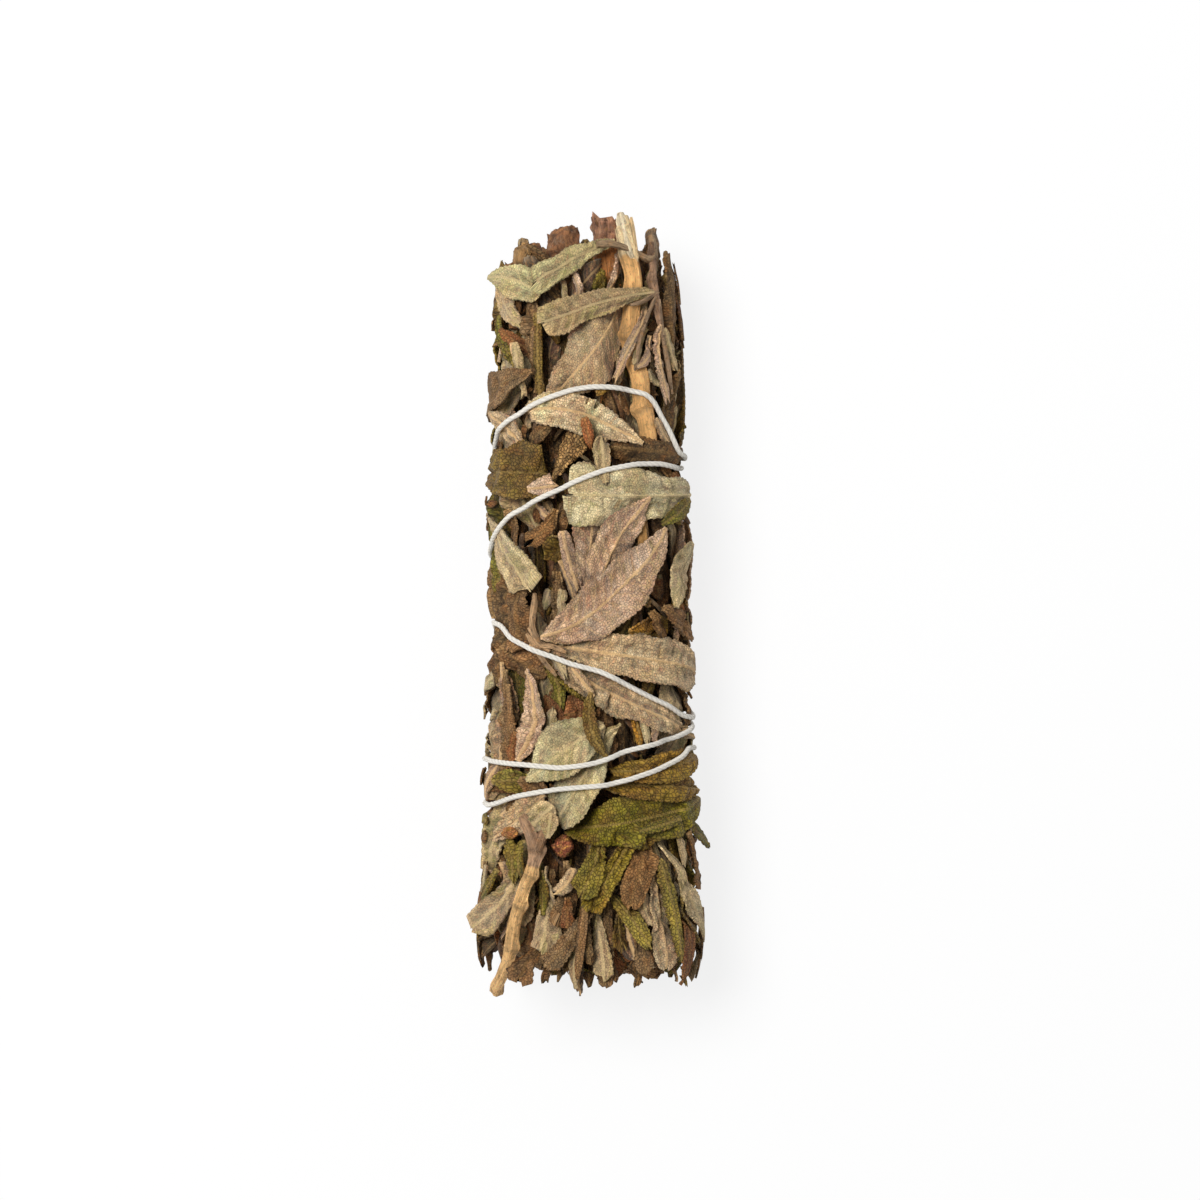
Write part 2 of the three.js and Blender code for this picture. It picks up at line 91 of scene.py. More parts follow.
def core_radius(around, along):
    """Distance from the spine to the core: a squared-off oval, level underneath, with three bellies."""
    cosine, sine = np.cos(np.radians(around)), np.sin(np.radians(around))
    half_width = np.interp(along, HALF_WIDTHS[:, 0], HALF_WIDTHS[:, 1])
    depth = WRAP_DEPTH * (1 + WRAP_LEAN * cosine)
    wide = half_width - depth
    high = np.where(cosine > 0, half_width * FLATNESS, UNDER_HEIGHT) - depth
    oval = (np.abs(sine / wide) ** SQUARENESS + np.abs(cosine / high) ** SQUARENESS) ** (-1 / SQUARENESS)
    away = [np.clip(np.abs(along - middle) / half, 0, 1) for middle, half in BELLIES]
    sag = sum(np.cos(distance * np.pi / 2) ** 2 for distance in away)
    return oval + BELLY_SAG * np.clip(-cosine, 0, 1) ** 4 * sag


# The pile is a map of how far everything laid so far reaches out from the spine, in small cells round and
# along the roll. The pull of the string is a second map of the same cells.
CELL_ANGLE, CELL_LENGTH, MAP_END = 1.5, 0.35, 62.0       # degrees, mm, mm
CELLS_ROUND, CELLS_LONG = int(360 / CELL_ANGLE), int(2 * MAP_END / CELL_LENGTH)
cell_angles, cell_places = np.meshgrid(np.arange(CELLS_ROUND) * CELL_ANGLE,
                                       np.arange(CELLS_LONG) * CELL_LENGTH - MAP_END, indexing="ij")


def cells(around, along):
    """Column and row of the map's cell at each place."""
    columns = np.round(around / CELL_ANGLE).astype(int) % CELLS_ROUND
    rows = np.clip(np.round((along + MAP_END) / CELL_LENGTH).astype(int), 0, CELLS_LONG - 1)
    return columns, rows


def between_cells(grid, around, along):
    """Value of a map at each place, in straight lines between its cells."""
    column, row = around / CELL_ANGLE, np.clip((along + MAP_END) / CELL_LENGTH, 0, CELLS_LONG - 2)
    first_column, first_row = np.floor(column).astype(int), row.astype(int)
    right, up = column - first_column, row - first_row
    low, high = first_column % CELLS_ROUND, (first_column + 1) % CELLS_ROUND
    below = grid[low, first_row] * (1 - right) + grid[high, first_row] * right
    above = grid[low, first_row + 1] * (1 - right) + grid[high, first_row + 1] * right
    return below * (1 - up) + above * up


def evened(values, width, **past_ends):
    """Each value on a line becomes the mean of the width values round it, weighted by a raised cosine."""
    weights = np.hanning(width) / np.hanning(width).sum()
    return np.convolve(np.pad(values, width // 2, **past_ends), weights, mode="valid")


string_angles = np.arange(STRING_ROUTE[0, 0], STRING_ROUTE[-1, 0], STRING_STEP)
string_places = np.interp(string_angles, STRING_ROUTE[:, 0], STRING_ROUTE[:, 1])
string_places = evened(string_places, STRING_EVEN, mode="edge")

string_pull = np.zeros((CELLS_ROUND, CELLS_LONG))
string_columns, string_rows = cells(string_angles, string_places)
for columns_off in range(-PULL_CELLS, PULL_CELLS + 1):
    for rows_off in range(-PULL_CELLS, PULL_CELLS + 1):
        columns = (string_columns + columns_off) % CELLS_ROUND
        rows = string_rows + rows_off
        off_round = ((string_columns + columns_off) * CELL_ANGLE - string_angles % 360 + 180) % 360 - 180
        off_along = rows * CELL_LENGTH - MAP_END - string_places
        away = np.hypot(off_round * ARC, off_along) / PINCH_REACH
        np.maximum.at(string_pull, (columns, rows), np.exp(-away ** 2))


def on_roll(around, along, radius):
    """Points in mm: out from the spine by radius, at an angle about it and a distance along it."""
    angle = np.radians(around)
    along = along + np.zeros_like(angle)
    return SPINE + np.stack([radius * np.sin(angle), along, radius * np.cos(angle)], axis=-1)


def outward(points):
    """Vectors square to the spine, from its line out to points."""
    return points - SPINE * (1, 0, 1) - points * (0, 1, 0)


# ---- The core ------------------------------------------------------------------------------------------
# Small crushed leaves packed between the stems. It shows only as dark, crumpled stuff in the gaps between
# the outer leaves and at both ends. It is a bumpy closed form with short leaves and crumbs pressed on it.
CORE_FRONT, CORE_BACK = 43.0, -45.0      # mm, where it ends towards the cut stems and towards the leaf tips
CORE_INSET = 3.0                         # mm below the nominal core, filled up by the small leaves
SMOOTH_BELOW = 55                        # degrees between two faces up to which their edge is smooth
rng = np.random.default_rng(37)


def ripples(across, along, wavelength):
    """Smooth random relief of about -1 to 1: nine sine waves of about one length, in random directions."""
    turn = rng.uniform(0, np.pi, 9)
    wave = 2 * np.pi / (wavelength * rng.uniform(0.7, 1.5, 9))
    phase = rng.uniform(0, 2 * np.pi, 9)
    lines = across[..., None] * np.cos(turn) + along[..., None] * np.sin(turn)
    return np.sin(wave * lines + phase).sum(axis=-1) / 3


def linear(colour):
    """sRGB hex number to linear RGB."""
    channels = np.array([(colour >> 16) & 255, (colour >> 8) & 255, colour & 255]) / 255
    return np.where(channels <= 0.04045, channels / 12.92, ((channels + 0.055) / 1.055) ** 2.4)


def add(tree, kind, inputs=None, **settings):
    """Adds one shader node. Inputs hold a value or the socket that feeds them. Settings are properties."""
    made = tree.nodes.new("ShaderNode" + kind)
    for key, value in settings.items():
        setattr(made, key, value)
    for key, value in (inputs or {}).items():
        if isinstance(value, bpy.types.NodeSocket):
            tree.links.new(value, made.inputs[key])
        else:
            made.inputs[key].default_value = value
    return made


def new_material(name):
    """A new material, with its node tree and its surface shader."""
    made = bpy.data.materials.new(name)
    made.use_nodes = True
    tree = made.node_tree
    return made, tree, tree.nodes["Principled BSDF"]


def build(name, solid, material, slot, nodes=()):
    """One mesh object from a solid: points in mm, faces, and vectors at each point for its material."""
    mesh = bpy.data.meshes.new(name)
    mesh.from_pydata(solid["points"] * MM, [], solid["faces"])
    for key in ("blade", "tone"):
        layer = mesh.attributes.new(key, "FLOAT_VECTOR", "POINT")
        layer.data.foreach_set("vector", solid[key].astype(np.float32).ravel())
    mesh.shade_smooth()
    mesh.set_sharp_from_angle(angle=math.radians(SMOOTH_BELOW))
    mesh.materials.append(material)
    piece = bpy.data.objects.new(name, mesh)
    bpy.context.scene.collection.objects.link(piece)
    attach(piece, "root")
    if nodes:
        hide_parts(*nodes)


def quads(a, b, c, d):
    """Faces from four arrays of corner numbers."""
    return np.stack([a, b, c, d], axis=-1).reshape(-1, 4).tolist()


def closed_tube(rings, blade, tone):
    """A closed solid from rings of points: sides between the rings, and one flat face at each end.

    Rings run along the tube, and their points turn anticlockwise seen from its far end.
    """
    count, around = rings.shape[:2]
    number = np.arange(count * around).reshape(count, around)
    turned = np.roll(number, -1, axis=1)
    faces = quads(number[:-1], turned[:-1], turned[1:], number[1:])
    faces += [number[0, ::-1].tolist(), number[-1].tolist()]
    return {"points": rings.reshape(-1, 3), "faces": faces, "blade": blade.reshape(-1, 3),
            "tone": (tone + np.zeros_like(rings)).reshape(-1, 3)}


def gather(solids):
    """Several solids as one."""
    start, faces = 0, []
    for solid in solids:
        faces += [[corner + start for corner in face] for face in solid["faces"]]
        start += len(solid["points"])
    joined = {key: np.concatenate([solid[key] for solid in solids]) for key in ("points", "blade", "tone")}
    return {**joined, "faces": faces}


# Dried leaf. Its underside is felted with short hairs, so it is dull and pale, and its veins stand up as a
# net. Its upper side is pebbled: little cells bulge between sunken veins. The net's cells are drawn 0.35 to
# 0.5 mm wide, somewhat coarser than they are, so that they still show from half a metre.
VEIN_STEP = 1.9         # mm between the side veins
VEIN_SLANT = 0.75       # mm that a side vein runs forwards for each mm outwards
NET_DRIFT = 0.7         # mm by which the net wanders
NET_EDGE = 0.19         # share of a cell from its edge to its flat middle
SIDE_VEIN_EDGES = (0.22, 0.03)      # mm from its middle, where a side vein fades out and is full
MIDRIB_EDGES = (0.24, 0.10)
GRAIN_SHADES = (0.64, 1.46)         # darkest and palest of the hairs and creases together
CELL_GLOW = 0.22        # how much paler a cell's middle is, for each share that its edge is darker
FELT_HEIGHT = 0.12      # mm


def finish(tree, skin, colour, height, distance, values):
    """Ends a material: links its colour and its relief, distance mm high for each 1, and sets its values."""
    tree.links.new(colour, skin.inputs["Base Color"])
    bump = add(tree, "Bump", {"Height": height, "Distance": distance * MM,
                              "Strength": 1.0}).outputs["Normal"]
    tree.links.new(bump, skin.inputs["Normal"])
    for socket, value in values.items():
        skin.inputs[socket].default_value = value


def leaf_material(name, cell, vein_tone, blotches, net_shade, side_veins, midrib_shade, relief, roughness):
    """Leaf skin from the piece's tone and blade vectors: blotches, a net of veins, side veins and a midrib.

    Cell is the net's size and relief its height, in mm. Each blotch has its tone, how many of them there are
    to a mm, and its share of the colour. The shades run from 0 to 1.
    """
    made, tree, skin = new_material(name)
    blade = add(tree, "Attribute", attribute_name="blade").outputs["Vector"]
    tone = add(tree, "Attribute", attribute_name="tone").outputs["Color"]
    drift = add(tree, "TexNoise", {"Vector": blade, "Scale": 0.9, "Detail": 3.0}).outputs["Color"]
    pull = add(tree, "VectorMath", {0: drift, 1: (0.5, 0.5, 0.5)}, operation="SUBTRACT").outputs[0]
    bent = add(tree, "VectorMath", {0: pull, 1: (NET_DRIFT, NET_DRIFT, 0.0), 2: blade},
               operation="MULTIPLY_ADD").outputs[0]
    across, along, _ = add(tree, "SeparateXYZ", {"Vector": bent}).outputs

    edge = add(tree, "TexVoronoi", {"Vector": bent, "Scale": 1 / cell, "Randomness": 0.9},
               voronoi_dimensions="2D", feature="DISTANCE_TO_EDGE").outputs["Distance"]
    net = add(tree, "MapRange", {"Value": edge, "From Min": 0.0, "From Max": NET_EDGE},
              interpolation_type="SMOOTHSTEP").outputs["Result"]
    outwards = add(tree, "Math", {0: across}, operation="ABSOLUTE").outputs[0]
    swept = add(tree, "Math", {0: outwards, 1: -VEIN_SLANT, 2: along}, operation="MULTIPLY_ADD").outputs[0]
    right = add(tree, "Math", {0: across, 1: 0.0}, operation="GREATER_THAN").outputs[0]
    turned = add(tree, "Math", {0: right, 1: VEIN_STEP / 2, 2: swept}, operation="MULTIPLY_ADD").outputs[0]
    from_vein = add(tree, "Math", {0: turned, 1: VEIN_STEP / 2}, operation="PINGPONG").outputs[0]
    faint, full = SIDE_VEIN_EDGES
    side_vein = add(tree, "MapRange", {"Value": from_vein, "From Min": faint, "From Max": full},
                    interpolation_type="SMOOTHSTEP").outputs["Result"]
    straight = add(tree, "SeparateXYZ", {"Vector": blade}).outputs["X"]
    straight = add(tree, "Math", {0: straight}, operation="ABSOLUTE").outputs[0]
    faint, full = MIDRIB_EDGES
    midrib = add(tree, "MapRange", {"Value": straight, "From Min": faint, "From Max": full},
                 interpolation_type="SMOOTHSTEP").outputs["Result"]

    colour = tone
    for blotch_tone, scale, share in blotches:
        moved = add(tree, "VectorMath", {0: tone, 1: (9, 9, 9), 2: blade},
                    operation="MULTIPLY_ADD").outputs[0]
        patch = add(tree, "TexNoise", {"Vector": moved, "Scale": scale, "Detail": 4.0,
                                       "Roughness": 0.65, "Distortion": 0.4}).outputs["Fac"]
        amount = add(tree, "MapRange", {"Value": patch, "From Min": 0.48, "From Max": 0.66,
                                        "To Max": share}).outputs["Result"]
        colour = add(tree, "Mix", {"Factor": amount, 6: colour, 7: (*linear(blotch_tone), 1)},
                     data_type="RGBA").outputs[2]
    grain = add(tree, "TexNoise", {"Vector": blade, "Scale": 3.2, "Detail": 3.0,
                                   "Roughness": 0.7}).outputs["Fac"]
    drawn_out = add(tree, "VectorMath", {0: bent, 1: (1, 0.35, 1)}, operation="MULTIPLY").outputs[0]
    crease = add(tree, "TexNoise", {"Vector": drawn_out, "Scale": 2.6, "Detail": 2.0}).outputs["Fac"]
    both = add(tree, "Math", {0: grain, 1: crease}, operation="ADD").outputs[0]
    darkest, palest = GRAIN_SHADES
    shade = add(tree, "MapRange", {"Value": both, "From Min": 0.7, "From Max": 1.3, "To Min": darkest,
                                   "To Max": palest}).outputs["Result"]
    cell_shade = add(tree, "MapRange", {"Value": net, "To Min": 1 - net_shade,
                                        "To Max": 1 + net_shade * CELL_GLOW}).outputs["Result"]
    both = add(tree, "Math", {0: shade, 1: cell_shade}, operation="MULTIPLY").outputs[0]
    colour = add(tree, "VectorMath", {0: colour, "Scale": both}, operation="SCALE").outputs[0]
    for mask, share in ((side_vein, side_veins), (midrib, midrib_shade)):
        part = add(tree, "Math", {0: mask, 1: share}, operation="MULTIPLY").outputs[0]
        colour = add(tree, "Mix", {"Factor": part, 6: colour, 7: (*linear(vein_tone), 1)},
                     data_type="RGBA").outputs[2]

    pebble = add(tree, "Math", {0: net, 1: relief}, operation="MULTIPLY").outputs[0]
    felt = add(tree, "Math", {0: grain, 1: FELT_HEIGHT, 2: pebble}, operation="MULTIPLY_ADD").outputs[0]
    ridge = add(tree, "Math", {0: side_vein, 1: -relief, 2: felt}, operation="MULTIPLY_ADD").outputs[0]
    finish(tree, skin, colour, ridge, 1.0, {"Roughness": roughness, "Specular IOR Level": 0.3})
    return made


LEAF_SKINS = {
    "leaf_tan": leaf_material("dried_sage_underside_tan", 0.37, 0xDDB47C,
                              ((0xA06C50, 0.24, 0.6), (0x93834A, 0.37, 0.5), (0xC98A5C, 1.5, 0.45)),
                              0.56, 0.26, 0.7, 0.05, 0.88),
    "leaf_grey": leaf_material("dried_sage_underside_grey", 0.35, 0xD2B884,
                               ((0x8A843F, 0.24, 0.6), (0xA98668, 0.37, 0.5), (0xBF8A5A, 1.5, 0.35)),
                               0.5, 0.26, 0.5, 0.04, 0.88),
    "leaf_green": leaf_material("dried_sage_upper_side_olive", 0.48, 0xA88A4C,
                                ((0x7A4E24, 0.24, 0.6), (0x8F7A20, 0.37, 0.4), (0x5E3E1E, 1.3, 0.4)),
                                0.55, 0.0, 0.45, 0.1, 0.62),
    "leaf_brown": leaf_material("dried_sage_crushed_brown", 0.4, 0x93703E,
                                ((0x3E2B18, 0.30, 0.7), (0x96602E, 0.55, 0.5), (0xB08C5A, 1.7, 0.4)),
                                0.42, 0.08, 0.30, 0.1, 0.75)}
NETTED_SKIN = leaf_material("dried_sage_upper_side_netted", 0.52, 0xC9A06A, ((0x6A3E20, 0.4, 0.6),),
                            0.6, 0.1, 0.5, 0.2, 0.75)
for felted_side in ("leaf_tan", "leaf_grey"):
    felted = LEAF_SKINS[felted_side].node_tree.nodes["Principled BSDF"]
    felted.inputs["Sheen Weight"].default_value = 0.15
    felted.inputs["Sheen Roughness"].default_value = 0.6

# The closed form itself: rings from one end to the other, round about the spine, drawn in at both ends.
CORE_RINGS, CORE_POINTS = 130, 84
# The core's tone is that of crushed leaf, darkened further as painted shade for the gaps in which it shows.
CORE_TONE_AND_SHADE = linear(0x2C2217)
CORE_ROUNDING = 0.035   # share of its length over which each end is drawn in
ring_share = np.linspace(0, 1, CORE_RINGS)[:, None]
core_places = CORE_BACK + (CORE_FRONT - CORE_BACK) * ring_share
core_angles = 360 * np.arange(CORE_POINTS)[None, :] / CORE_POINTS
from_ends = np.minimum(ring_share, 1 - ring_share)
drawn_in = np.minimum(1, np.sqrt(from_ends / CORE_ROUNDING) * 0.98 + 0.02)
lengthways = core_places + 0 * core_angles
lumps = 0.55 * ripples(np.sin(np.radians(core_angles)) * 12 + 0 * core_places, lengthways, 4)
lumps += 0.45 * ripples(np.cos(np.radians(core_angles)) * 12 + 0 * core_places, lengthways, 2.2)
core_reach = np.maximum(core_radius(core_angles, core_places) - CORE_INSET + lumps, 2) * drawn_in
core_points = on_roll(core_angles, core_places, core_reach)
# The skin's pattern is flat, so it is laid askew across all three directions.
core_blade = core_points[..., [0, 2, 1]] + 0.7 * core_points[..., [1, 1, 0]]
core = closed_tube(core_points, core_blade, CORE_TONE_AND_SHADE)
build("crushed_leaf_core", core, LEAF_SKINS["leaf_brown"], "leaf_brown", ["leaf_core"])

# The pile starts as the core, and falls away past its ends.
END_TAPER = 0.02        # mm for each square mm past them
LUMPS_OVER = 0.3        # mm from the core's mean surface up to its lumps
past_end = np.maximum(0, np.maximum(cell_places - CORE_FRONT, CORE_BACK - cell_places))
pile = core_radius(cell_angles, cell_places) - CORE_INSET + LUMPS_OVER - END_TAPER * past_end ** 2

# ---- Leaves, and how they are laid ---------------------------------------------------------------------
# Dried leaves a quarter of a millimetre thick are laid one after another. Each rests on the pile, bridges
# its gaps, keeps its own curl, ribs and toothed margin, and then raises the pile for the next.
LEAF_THICK = 0.26
# Half-width along a leaf, 0 at its base and 1 at its tip: t^p (1 - t)^q, scaled to 1 at its widest.
# Torn leaves have lost their tips.
LEAF_FORMS = {"lance": (0.75, 0.85), "ovate": (0.45, 0.8), "spoon": (0.9, 0.4), "strap": (0.3, 0.35),
              "torn": (0.6, 0.05)}
RAGGED = {"lance": 0.1, "ovate": 0.15, "spoon": 0.35, "strap": 0.5, "torn": 0.7}      # mm, at the tip
COLUMNS = np.array([-1, -0.9, -0.72, -0.5, -0.28, -0.1, 0, 0.1, 0.28, 0.5, 0.72, 0.9, 1])
FEW_COLUMNS = np.array([-1, -0.6, 0, 0.6, 1])
TOOTH, TOOTH_DEPTH = 0.85, 0.22     # mm from one rounded tooth of the margin to the next, and their depth
MARGIN_TURN, PLEAT_DEPTH = -0.12, 0.28      # mm
PAINTED_FOLD_SHADE = 0.24                   # painted shade: how much darker a leaf is in the valleys of its pleats, and lighter on their ridges, as a share
FOLD_MOST = 0.34                    # mm up or down for each mm out from the midrib
WAVE_HEIGHT = 0.10                  # mm that the margin waves up and down, for each mm of half-width
PUCKER_HEIGHT = 0.16                # mm that the leaf bulges between its side veins
RIB_HEIGHT, RIB_WIDTH = 0.25, 0.28  # mm
BROAD, FINE = (1.7, 5.5), (1.1, 2.0)    # crumples: height as a share of the leaf's own, and mm between them
LEAST_HALF, UNEVEN = 0.35, 0.09     # mm of half-width at the ends, and share by which the half-width varies
NARROW = 2.6                        # mm wide, up to which a leaf needs only every second column
ROW_STEP, FEW_ROW_STEP = 0.31, 1.1  # mm along a leaf, and along one that hardly shows
SWEEPS, FEW_SWEEPS = 80, 25         # in which such leaves settle on the pile
HOLD_REACH, HOLD_GAP = 0.5, 0.03    # mm round a point in which the pile holds it up, and between the two
CLEAR_SHARE = 80                    # per cent of a leaf that its own stiffness holds clear of the pile
FLOOR_SOFTNESS = 0.9                # mm over the surface in which the lowest leaves are pressed flat

# What each tone of leaf is: its colour, the material slot it belongs to, how high its veins stand (under 0
# where they are sunk in the pebbled upper side), and how crumpled such leaves are, in mm.
TONES = {
    "tan": (0xB9A17A, "leaf_tan", 1.0, 0.12), "tanyellow": (0xF2D6A6, "leaf_tan", 1.0, 0.10),
    "pink": (0xBEA084, "leaf_tan", 1.0, 0.12), "brownpale": (0x997C5E, "leaf_tan", 0.8, 0.14),
    "pale": (0xC2AC80, "leaf_grey", 1.0, 0.10), "grey": (0xB1966D, "leaf_grey", 1.0, 0.12),
    "greengrey": (0xC0A875, "leaf_grey", 1.0, 0.10), "greygreen": (0xC0B284, "leaf_grey", 1.0, 0.08),
    "olivegrey": (0xAC9266, "leaf_grey", 0.8, 0.12), "olive": (0x7A6C25, "leaf_green", -1.0, 0.10),
    "brightolive": (0x7E7218, "leaf_green", -1.0, 0.08),
    "oliveyellow": (0x8D7822, "leaf_green", -1.0, 0.10),
    "goldolive": (0x8C6A24, "leaf_green", -1.0, 0.14), "gold": (0x9C6E21, "leaf_green", -1.0, 0.12),
    "greengold": (0x928035, "leaf_green", -1.0, 0.10), "green": (0x6B641F, "leaf_green", -1.0, 0.12),
    "sage": (0xB5AA77, "leaf_grey", 0.6, 0.12), "palegreen": (0xCEBF94, "leaf_grey", 1.0, 0.08),
    "darkolive": (0x66501F, "leaf_green", -0.8, 0.14), "olivebrown": (0x745B29, "leaf_green", -0.8, 0.16),
    "netted": (0xAA8450, "leaf_brown", -0.8, 0.16), "goldbrown": (0x8A6238, "leaf_brown", -0.8, 0.16),
    "brown": (0x7E5D3C, "leaf_brown", 0.6, 0.26), "darkgrey": (0x876B4A, "leaf_brown", 0.6, 0.22),
    "dark": (0x5A452B, "leaf_brown", 0.5, 0.26),
    "rust": (0x985A32, "leaf_brown", -0.5, 0.18), "rustdark": (0x784421, "leaf_brown", 0.4, 0.18)}
# A leaf's colour, as shares: its mean, how far it drifts and mottles, its least and most from leaf to leaf,
# and how far its warmth drifts. Then the margin's colour, browned and partly painted edge shadow, and its
# share, and the stalk's, with its reach.
TONE_LEVEL, TONE_DRIFT, TONE_MOTTLE, LEAF_TO_LEAF, WARM_DRIFT = 1.13, 0.16, 0.10, (0.88, 1.12), 0.05
MARGIN_BROWN_AND_SHADE, MARGIN_SHARE = linear(0x4E3E22), 0.55
STALK_TONE, STALK_SHARE, STALK_REACH = linear(0xC09A66), 0.35, 0.16


def pile_top(around, along, reach):
    """Highest of the pile within reach (mm) of each place."""
    columns, rows = cells(around, along)
    wide, long = int(round(reach / (CELL_ANGLE * ARC))), int(round(reach / CELL_LENGTH))
    top = np.zeros(columns.shape)
    for shift_round in range(-wide, wide + 1):
        for shift_long in range(-long, long + 1):
            near = np.clip(rows + shift_long, 0, CELLS_LONG - 1)
            top = np.maximum(top, pile[(columns + shift_round) % CELLS_ROUND, near])
    return top


FINER = 3               # so many times the points of a leaf leave out no cell of the pile between them


def finer(grid):
    """The grid with straight-line values between its points, FINER times as many each way."""
    for axis in (0, 1):
        place = np.linspace(0, grid.shape[axis] - 1, (grid.shape[axis] - 1) * FINER + 1)
        before = np.minimum(place.astype(int), grid.shape[axis] - 2)
        share = np.expand_dims(place - before, 1 - axis)
        grid = np.take(grid, before, axis) * (1 - share) + np.take(grid, before + 1, axis) * share
    return grid


def heap_up(around, along, top):
    """Raises the pile to the top of a piece given on a grid."""
    np.maximum.at(pile, cells(finer(around), finer(along)), finer(top))


def settle(floor, sweeps):
    """A soft sheet on the floor: each point moves to its neighbours' mean, or stays up on the floor."""
    rest = floor.copy()
    for _ in range(sweeps):
        wide = np.pad(rest, 1, mode="edge")
        mean = (wide[:-2, 1:-1] + wide[2:, 1:-1] + wide[1:-1, :-2] + wide[1:-1, 2:]) / 4
        rest = np.maximum(floor, mean)
    for _ in range(2):
        wide = np.pad(rest, 1, mode="edge")
        rest = (wide[:-2, 1:-1] + wide[2:, 1:-1] + wide[1:-1, :-2] + wide[1:-1, 2:] + 2 * rest) / 6
    return rest


def stiffened(rest, floor, bends):
    """The smoothest sheet near the rest: a polynomial with so many bends along the leaf, and one across.

    It is raised until it clears nearly all of the floor.
    """
    t = np.linspace(-1, 1, rest.shape[0])[:, None] + 0 * rest
    s = np.linspace(-1, 1, rest.shape[1])[None, :] + 0 * rest
    terms = np.stack([t ** power for power in range(bends + 2)] + [s, s * t, s ** 2], axis=-1)
    fit = np.linalg.lstsq(terms.reshape(-1, terms.shape[-1]), rest.ravel(), rcond=None)[0]
    sheet = terms @ fit
    return sheet + max(0, np.percentile(floor - sheet, CLEAR_SHARE))


def leaf_plan(form, base, tip, width, bow, columns, step, toothed):
    """Places on the unrolled pile: mm across the leaf, mm along it, angle about the spine, place along it.

    The midrib is a parabola from base to tip, bow mm off the straight line at its middle. The half-width
    is t^p (1 - t)^q, with rounded teeth cut in.
    """
    base, tip = np.array([base[0] * ARC, base[1]]), np.array([tip[0] * ARC, tip[1]])
    run = tip - base
    length = np.hypot(*run)
    left = np.array([-run[1], run[0]]) / length
    t = np.linspace(0, 1, max(6, int(round(length / step))))[:, None]
    p, q = LEAF_FORMS[form]
    widest = p / (p + q)
    half = width / 2 * t ** p * (1 - t) ** q / (widest ** p * (1 - widest) ** q)
    half = np.maximum(half, min(LEAST_HALF, width / 4))
    if toothed:
        side = np.sign(columns)[None, :]
        teeth = np.abs(np.cos(np.pi * (t * length / TOOTH + 0.3 * side + rng.uniform()))) ** 3
        uneven = 1 + UNEVEN * ripples(t * length + 40 * side, 0 * t + 0 * side, 6)
        half = (half - TOOTH_DEPTH * teeth * (half > 0.8)) * uneven
    heading = run + 4 * bow * (1 - 2 * t) * left
    heading = heading / np.linalg.norm(heading, axis=1)[:, None]
    sideways = np.stack([-heading[:, 1], heading[:, 0]], axis=1)
    across = half * columns[None, :]
    middle = base + run * t + 4 * bow * t * (1 - t) * left
    tear = RAGGED[form] * ripples(6 * columns, 0 * columns, 4)[None, :] * np.clip(8 * t - 7, 0, 1)
    place = (middle[:, None, :] + across[..., None] * sideways[:, None, :]
             + tear[..., None] * heading[:, None, :])
    return across, t * length + 0 * across, place[..., 0] / ARC, place[..., 1]


def leaf_relief(across, along, half, length, veins, curl, tilt, lift, crumple):
    """Height in mm over what the leaf rests on: margins, a tilt, waves, crumples, ribs, a lifted end.

    The very margin turns down, the leaf is folded a little along its midrib, and sharp pleats run
    lengthwise, deep at the base and nearly gone by the tip.
    """
    side = across / half
    bend = (curl * (1 - side ** 2) if curl > 0 else -curl * side ** 2) - MARGIN_TURN * side ** 8
    fold = rng.uniform(-1, 1) * FOLD_MOST * min(1, 2 / half.max())
    pleats = side * rng.uniform(0.8, 1.7) + 0.06 * ripples(across, along, 8) + rng.uniform()
    pleats = PLEAT_DEPTH * (2 * np.abs(2 * (pleats % 1) - 1) - 1)
    bend = bend + fold * np.abs(across) + pleats * np.clip(1.1 - 1.3 * along / length, 0.25, 1)
    wave = WAVE_HEIGHT * half * side ** 2 * np.sin(2 * np.pi * along / rng.uniform(4, 8) + rng.uniform(0, 6))
    rough = BROAD[0] * ripples(across, along, BROAD[1]) + FINE[0] * ripples(across, along, FINE[1])
    phase = (along - VEIN_SLANT * np.abs(across)) / VEIN_STEP + 0.5 * (across > 0)
    fade = np.clip(np.abs(across) / 0.5, 0, 1) * np.clip((1 - np.abs(side)) * 4, 0, 1)
    pucker = veins * PUCKER_HEIGHT * np.cos(2 * np.pi * phase) * fade
    rib = veins * np.clip(half / 2, 0.3, 1) * RIB_HEIGHT * np.exp(-(across / RIB_WIDTH) ** 2)
    t = along / length
    end = np.clip((t - 0.6) / 0.4, 0, 1) if lift > 0 else np.clip((0.4 - t) / 0.4, 0, 1)
    return bend + tilt * across + wave + crumple * rough + pucker + rib + abs(lift) * end ** 2, pleats


def leaf_tone(colour, across, along, side, length):
    """Colour over a leaf: its tone, drifting in patches, browner and darker at the margin, partly as painted
    edge shadow, and paler along the stalk.
    """
    shade = TONE_LEVEL + TONE_DRIFT * ripples(across, along, 9) + TONE_MOTTLE * ripples(across, along, 3)
    shade = shade * rng.uniform(*LEAF_TO_LEAF)
    warm = 1 + WARM_DRIFT * ripples(across, along, 6)
    tone = linear(colour) * np.stack([shade * warm, shade, shade * (2 - warm)], axis=-1)
    edge = (MARGIN_SHARE * np.clip((np.abs(side) - 0.88) / 0.12, 0, 1))[..., None]
    stalk = (STALK_SHARE * np.clip(1 - along / (STALK_REACH * length), 0, 1))[..., None]
    tone = tone * (1 - edge) + MARGIN_BROWN_AND_SHADE * edge
    return np.clip(tone * (1 - stalk) + STALK_TONE * stalk, 0.002, 0.9)


def pressed(points):
    """Leaves under the roll's weight flatten: heights z under the softness s become s e^(z/s - 1)."""
    low = FLOOR_SOFTNESS * np.exp(np.minimum(points[..., 2] / FLOOR_SOFTNESS, 1) - 1)
    height = np.where(points[..., 2] < FLOOR_SOFTNESS, low, points[..., 2])
    return np.concatenate([points[..., :2], height[..., None]], axis=-1)


